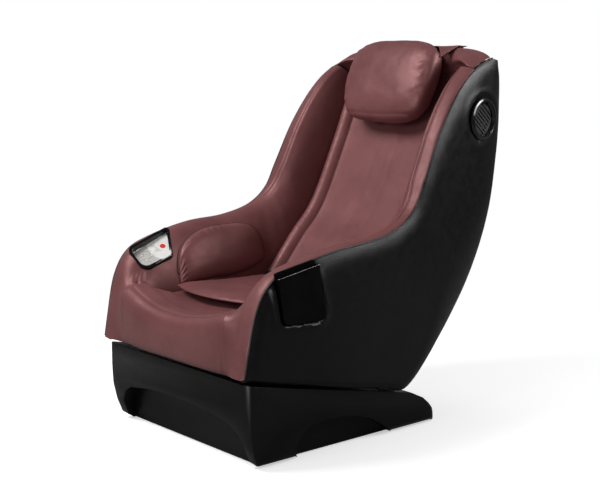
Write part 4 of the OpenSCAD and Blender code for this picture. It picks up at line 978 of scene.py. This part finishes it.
def hip_pad(side):
    tau = (spaced(110, 0.96) * 0.998)[:, None]
    bb = (1 - np.cos(np.linspace(0, math.pi, 70)))[None, :] / 2
    t = mix(4.1, 6.8, (tau + 1) / 2) / SPANS
    full = HIP_THICK * np.sqrt(clamp(1 - np.abs(tau) ** 4))
    a = mix(HIP_FOOT - 48 * (1 - np.abs(tau) ** 2.5) ** 0.4, HIP_FOOT, bb)
    h = 1 + full * clamp(1 - np.abs(2 * bb - 1) ** 4) ** 0.6
    top = arm_point(t, a) + arm_normal(t, a) * h[..., None]
    # gathers run in from the piped front edge, and soft dents lie over the face
    from_rim = np.minimum(1, np.minimum(bb * 3.2, (1 - np.abs(tau)) * 3.6))
    ang = np.arctan2(bb - 0.75, tau + 0.1)
    g = np.sin(ang * 30 + 1.5 * fbm(top, 30.0, 51.0, 1)) * np.exp(-((from_rim - 0.25) / 0.22) ** 2)
    g = g * ease(-tau * 2.0 + 0.6) * ease((0.95 - bb) * 6)
    dz = 2.3 * g + 1.4 * fbm(top, 70.0, 52.0, 2) * clamp(from_rim)
    top = top + arm_normal(t, a) * (dz * clamp(full / 12) * clamp(from_rim * 3))[..., None]
    low = arm_point(t, a) + arm_normal(t, a) * 0.6
    rings = on_side(np.concatenate([top, low[:, ::-1][:, 1:-1:5]], 1), side)
    ob = outward(lofted("hip_pad_leather_" + hand(side), rings))
    upholster(ob, "hip_pad_" + hand(side))
    # the piping is real, but its darker thread colour is painted shade of the groove between pad and wing
    rim = on_side(arm_point(t[:, 0], a[:, 0]) + arm_normal(t[:, 0], a[:, 0]) * 4.0, side)
    dress(pipe("hip_pad_piping_" + hand(side), rim[1:-1], 2.8), THREAD_AND_SEAM_SHADE)


for side in (1, -1):
    hip_pad(side)

# ---- top cap ----
CREST = np.array([445.0, 1142.0])
CAP_MID = np.array([[-30, -95], [-60, -74], [-84, -58], [-88, -44], [-66, -20], [-36, -4], [0, 0], [36, -10],
                    [60, -34], [66, -58], [48, -58], [42, -44], [22, -30], [0, -24], [-24, -28], [-40, -46],
                    [-44, -62], [-30, -80]], float)
CAP_END = np.array([[-30, -93], [-52, -76], [-71, -64], [-76, -60], [-58, -54], [-34, -44], [8, -31],
                    [36, -34], [54, -44], [62, -58], [46, -58], [38, -54], [20, -52], [0, -54], [-24, -62],
                    [-38, -70], [-42, -74], [-30, -84]], float)
CAP_OUTER, CAP_COLS = 10, 64


def cap_ring(s):
    k = abs(s) ** 7
    f = mix(0.425, 1, float(ease((abs(s) - 0.55) / 0.45)))
    q = mix(CAP_MID, CAP_END, k).copy()
    q[:, 0] = np.where(q[:, 0] < 0, q[:, 0] * f, q[:, 0])
    lift = 20 * float(ease((abs(s) - 0.5) / 0.22) * ease((1 - abs(s)) / 0.2))
    q[[0, 1, 2, 3, 4, 16, 17], 1] += lift * np.array([1, 1, 0.8, 0.6, 0.2, 0.9, 1])
    outer = along(q[:CAP_OUTER], np.linspace(0, 1, CAP_COLS))
    ring = np.concatenate([outer, q[CAP_OUTER:]]) + CREST
    wide = side_x(ring[:, 0]) - 12.6 - 42 * clamp((ring[:, 0] - 462) / 16)
    return np.column_stack([s * wide, ring])


ss = spaced(131)
rings = np.array([cap_ring(s) for s in ss])
g = rings[:, :CAP_COLS]
n = grid_normals(g)
n = n * np.sign(n[65, 40, 2])
u = np.arange(CAP_COLS)[None, :]
# two seams with a soft rise between them
h = -1.8 * np.exp(-((u - 36) / 0.9) ** 2) - 1.8 * np.exp(-((u - 51) / 0.9) ** 2)
h = h + 1.0 * np.exp(-((u - 43) / 5) ** 2)
h = h + 1.1 * fbm(g, 120.0, 61.0, 2) + 0.4 * fbm(g, 34.0, 62.0, 2)
h = h * ease(np.minimum(u, CAP_COLS - 1 - u) / 5) * ease((1 - np.abs(ss[:, None])) * 30)
g = g + n * h[..., None]
rings = np.concatenate([g, rings[:, CAP_COLS:]], 1)
upholster(outward(lofted("top_cap_leather", rings, sharp=70)), "top_cap")
for name, col in (("front", 34), ("rear", 53)):
    sew("cap_thread_" + name, g[4:-4, col], n[4:-4, col])

# ---- head pillow ----


def power_sin(a, e):
    return np.sign(np.sin(a)) * np.abs(np.sin(a)) ** e


TILT = math.radians(21)
PILLOW_AT = np.array([0, 331.0, 1033.5])
PILLOW_HALF = 186

lat = np.radians(np.linspace(-88.5, 88.5, 120))[:, None]
lon = np.linspace(0, 2 * math.pi, 133)[None, :-1]
x = PILLOW_HALF * power_sin(lat, 0.62) + 0 * lon
y = 56 * np.cos(lat) ** 0.62 * power_sin(lon + math.pi / 2, 0.85)
z = 138 * np.cos(lat) ** 0.35 * power_sin(lon, 0.75)
# fuller toward the middle, with soft folds and puckers where it is gathered at its ends
end = np.abs(x) / PILLOW_HALF
z = z * (1 - 0.05 * end ** 3)
x = x * (1 - 0.10 * clamp((-z - 5) / 128) ** 1.4)
raw = np.stack([x, y + 0 * x, z], -1)
puck = np.exp(-((end - 0.86) / 0.10) ** 2)
wave = np.sin(z / 6.2 + 2.3 * fbm(raw, 40.0, 71.0, 2))
h = puck * 3.2 * wave * clamp(0.4 + 0.9 * fbm(raw, 70.0, 72.0, 1))
h = h + 2.6 * fbm(raw, 95.0, 73.0, 2) + 0.7 * fbm(raw, 30.0, 74.0, 2)
crease = np.exp(-((z + 116 + 4 * np.cos(x / 60)) / 4.5) ** 2) * (y < 20)
h = h - 1.6 * ease((168 - np.abs(x)) / 24) * crease
n = grid_normals(raw)
n = n * np.sign((n * raw).sum(-1).mean())
raw = raw + n * (h * ease((1 - end) * 14))[..., None]
x, y, z = raw[..., 0], raw[..., 1], raw[..., 2]
co, si = math.cos(TILT), math.sin(TILT)
leaning = np.stack([x, y * co + z * si, z * co - y * si], -1) + PILLOW_AT
upholster(outward(lofted("head_pillow_leather", leaning)), "head_pillow", "pillow")

# ---- pillow flap ----
STRAP_HALF, STRAP_WIDTH, STRAP_THICK = 188, 0.378, 2.0
PATH = np.array([[-34, -1], [-16, 0.3], [0, 0.6], [18, -4.3], [36.4, -9.3], [48.5, -21.3], [60.6, -33.6],
                 [64, -46]], float)
u = np.linspace(0, 1, 50)[None, :]
line = along(PATH, u[0])
xs = np.linspace(-STRAP_HALF, STRAP_HALF, 81)[:, None]
# its sides droop beside the pillow and run out to a point behind
corner = ease((np.abs(xs) - 95) / 93)
flank = ease((np.abs(xs) - 150) / 38) * clamp(1 - u / 0.5) ** 1.6
reach = u * (1 - 0.42 * corner)
g = np.concatenate([(xs + 0 * u)[..., None], along(PATH, reach) + CREST], -1)
g[..., 2] += 0.5 * (1 + fbm(g, 60.0, 81.0, 2)) + 13 * corner * reach ** 1.5 * 2.3
tuck = ease((np.abs(xs) - 80) / 60) * clamp(1 - u / 0.4) ** 1.5
g[..., 1] -= 24 * tuck + 21 * flank
g[..., 2] -= 27 * flank - 5 * tuck * (1 - flank)
n = grid_normals(g)
n = n * np.sign(n[40, 20, 2])
strap = outward(lofted("pillow_flap_leather", np.concatenate([g + n * STRAP_THICK, g[:, ::-1]], 1)))
dress(strap, LEATHER)
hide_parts("pillow_flap")

# ---- rigid nodes that keep their mesh ----
LOOKS = (
    (STEEL, "base_frame seat_frame panel_standoffs guide_rail_left guide_rail_right massage_carriage "
            "kneading_arm_left kneading_arm_right"),
    (BRIGHT, "wheel_axles pivot_pins actuator_rod climb_shaft kneading_shaft"),
    (MOTOR, "actuator_tube power_inlet speaker_drivers climb_motor kneading_motor control_box air_pump"),
    (RUBBER, "base_feet transport_wheel_left transport_wheel_right"),
    (ROLLER, "roller_upper_left roller_lower_left roller_upper_right roller_lower_right"),
    (GLOSS, "power_switch control_bezel speaker_ring_left speaker_ring_right"),
    (MESH_CLOTH, "speaker_grille_left speaker_grille_right"),
    (BASE, "seat_pan bottom_cover"),
    (KEY, "key_1 key_2 key_3 key_4 key_5 key_6"),
    (POCKET_BLACK, "phone_pocket"), (PANEL, "control_plate"), (RED, "power_button"))
for look, names in LOOKS:
    for name in names.split():
        slots = NODES[name].data.materials
        if not slots:
            slots.append(look.mat)
        for i in range(len(slots)):
            slots[i] = look.mat

# ---- base shell with its moulded edges rounded ----
me = NODES["base_shell"].data.copy()
shell = bpy.data.objects.new("base_shell_moulding", me)
bpy.context.scene.collection.objects.link(shell)
bm = bmesh.new()
bm.from_mesh(me)
bmesh.ops.remove_doubles(bm, verts=bm.verts, dist=0.00005)
bmesh.ops.dissolve_limit(bm, angle_limit=math.radians(0.8), verts=bm.verts, edges=bm.edges)
bm.to_mesh(me)
bm.free()
bev = shell.modifiers.new("round", "BEVEL")
bev.width = 0.0045
bev.segments = 3
bev.limit_method = "ANGLE"
bev.angle_limit = math.radians(38)
bev.use_clamp_overlap = True
bev.harden_normals = False
apply_modifiers(shell)
shell.data.polygons.foreach_set("use_smooth", [True] * len(shell.data.polygons))
shell.data.set_sharp_from_angle(angle=math.radians(42))
dress(shell, BASE, "base")
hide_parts("base_shell")

# ---- key marks and rims ----


def ring_mark(u, v, r, thick=0.45):
    a = np.linspace(0, 2 * math.pi, 17)[:-1]
    pts = np.column_stack([u + r * np.cos(a), v + r * np.sin(a), np.full(16, 0.25)])
    return pipe("mark", place(BEZEL, pts), thick, sides=5, closed=True)


def bar_mark(u, v, angle, length, thick=0.45):
    d = np.array([math.cos(angle), math.sin(angle), 0]) * length / 2
    mid = np.array([u, v, 0.25])
    pts = np.array([mid + d * k for k in (-1, -0.3, 0.3, 1)])
    return pipe("mark", place(BEZEL, pts), thick, sides=5)


KEYS = ((-38, -14), (-12, -22), (16, -24), (-40, 12), (-14, 6), (14, 0))
marks = []
for i, (ku, kv) in enumerate(KEYS):
    marks.append(ring_mark(ku, kv, 6.6))
    for j in range(3):
        a = 0.6 + 2.1 * j + 0.5 * i
        cu, cv = ku + 12.5 * math.cos(a), kv + 11.5 * math.sin(a)
        if inside(np.array([[cu, cv]]), bezel_outline(-15))[0]:
            ring = (i + j) % 3
            marks.append(ring_mark(cu, cv, 1.7, 0.4) if ring else bar_mark(cu, cv, a + 0.8, 4.6))
            marks.append(bar_mark(cu + 3.6, cv + 1.2, a, 2.6, 0.4))
for a in np.linspace(-2.2, 1.2, 9):
    cu, cv = 38 + 15.5 * math.cos(a), -2 + 15.5 * math.sin(a)
    marks.append(bar_mark(cu, cv, a + 1.57, 3.0, 0.35))
dress(join("key_marks", marks), INK)

# lips of the phone pocket; the front lip is real, but its bright satin metal is a painted highlight along the
# black lip
front_lip = place(POCKET, np.array([[x, 38 + 0.207 * (x + 100), 20.6] for x in np.linspace(-78, 60, 24)]))
dress(pipe("pocket_lip_painted_highlight", front_lip, 1.1), RIM_AND_LIP_HIGHLIGHT)
rear_lip = place(POCKET, np.array([[x, 57 + 0.209 * (x + 80), 5.5] for x in np.linspace(-77, 52, 24)]))
dress(pipe("pocket_lip_rear", rear_lip, 1.6), GLOSS)

# bright inner rim of the control bezel, and the panel's white face in it
far_rim, near_rim = bezel_outline(-9.4, 12), bezel_outline(-3.6, 12)
rim = mix(far_rim, near_rim, ease((far_rim[:, 1:] + 30) / 45))
rim_line = place(BEZEL, np.column_stack([rim, np.full(len(rim), 0.9)]))
dress(pipe("bezel_rim", rim_line, 1.3, closed=True), RIM_AND_LIP_HIGHLIGHT)
face = prism("control_panel_face", BEZEL, rim * 0.995, -1.2, 0.45)
dress(face, PANEL)
face.data.polygons.foreach_set("use_smooth", [False] * len(face.data.polygons))

# ---- camera, lights and floor ----
cam = bpy.data.objects.new("camera", bpy.data.cameras.new("camera"))
bpy.context.scene.collection.objects.link(cam)
bpy.context.scene.camera = cam
cam.location = (2.81859, -2.47432, 1.11606)
cam.rotation_euler = Vector((-0.74954, 0.64297, -0.15745)).to_track_quat("-Z", "Y").to_euler()
cam.data.lens = 72.95
cam.data.sensor_width = 36


def area(name, loc, target, size, power, diffuse=True, glossy=True):
    d = bpy.data.lights.new(name, "AREA")
    d.shape = "RECTANGLE"
    d.size, d.size_y = size
    d.energy = power
    ob = bpy.data.objects.new(name, d)
    ob.location = loc
    ob.rotation_euler = (Vector(target) - Vector(loc)).to_track_quat("-Z", "Y").to_euler()
    ob.visible_diffuse = diffuse
    ob.visible_glossy = glossy
    bpy.context.scene.collection.objects.link(ob)


area("key", (-0.9, -1.9, 3.1), (0, 0, 0.6), (1.5, 1.5), 88)
area("front", (0.4, -3.4, 1.5), (0, 0, 0.5), (1.5, 1.2), 24)
area("rim", (2.0, 1.9, 2.3), (0.2, 0.1, 0.7), (1.3, 1.0), 46)
area("fill", (-2.6, 0.4, 2.1), (0, 0, 0.7), (1.3, 1.3), 18, glossy=False)
area("strip", (2.1, -2.9, 0.75), (0.25, -0.45, 0.3), (0.2, 1.1), 55, diffuse=False)
area("sheen", (2.5, 1.7, 1.75), (0.35, 0.1, 0.7), (1.5, 1.1), 48, diffuse=False)

world = bpy.data.worlds.new("world")
bpy.context.scene.world = world
world.use_nodes = True
wt = world.node_tree
bg = wt.nodes["Background"]
lp = wt.nodes.new("ShaderNodeLightPath")
seen = wt.nodes.new("ShaderNodeMath")
seen.operation = "MAXIMUM"
wt.links.new(lp.outputs["Is Camera Ray"], seen.inputs[0])
wt.links.new(lp.outputs["Is Transmission Ray"], seen.inputs[1])
ml = wt.nodes.new("ShaderNodeMapRange")
wt.links.new(seen.outputs[0], ml.inputs["Value"])
ml.inputs["To Min"].default_value = 0.15
ml.inputs["To Max"].default_value = 1.0
wt.links.new(ml.outputs["Result"], bg.inputs["Strength"])
bg.inputs["Color"].default_value = grey(1)

FLOOR = 12
fl = bpy.data.meshes.new("floor")
corners = [(-FLOOR, -FLOOR, 0), (FLOOR, -FLOOR, 0), (FLOOR, FLOOR, 0), (-FLOOR, FLOOR, 0)]
fl.from_pydata(corners, [], [(0, 1, 2, 3)])
floor = bpy.data.objects.new("floor", fl)
bpy.context.scene.collection.objects.link(floor)
fm = Nodes("floor")
fm.fix(Base_Color=grey(0.86), Roughness=0.9, Specular_IOR_Level=0.1)
glow = fm.add("Emission", Strength=0.5)
lit = fm.joined("AddShader", fm.bsdf.outputs[0], glow.outputs[0])
# to the camera the floor brightens near the chair and turns plain white away from it
white = fm.add("Emission", Strength=1.0)
far = fm.joined("VectorMath", fm.coord)
far.operation = "LENGTH"
rise = fm.add("MapRange", interpolation_type="SMOOTHSTEP", Value=far.outputs["Value"])
rise.inputs["From Min"].default_value = 0.9
rise.inputs["From Max"].default_value = 2.1
near = fm.joined("MixShader", rise.outputs["Result"], lit.outputs[0], white.outputs[0])
bounce = fm.add("BsdfDiffuse", Color=grey(0.34))
to_camera = fm.add("LightPath").outputs["Is Camera Ray"]
surface = fm.joined("MixShader", to_camera, bounce.outputs[0], near.outputs[0])
fm.tree.links.new(surface.outputs[0], fm.tree.nodes["Material Output"].inputs["Surface"])
fl.materials.append(fm.mat)

bpy.context.scene.view_settings.view_transform = "Standard"
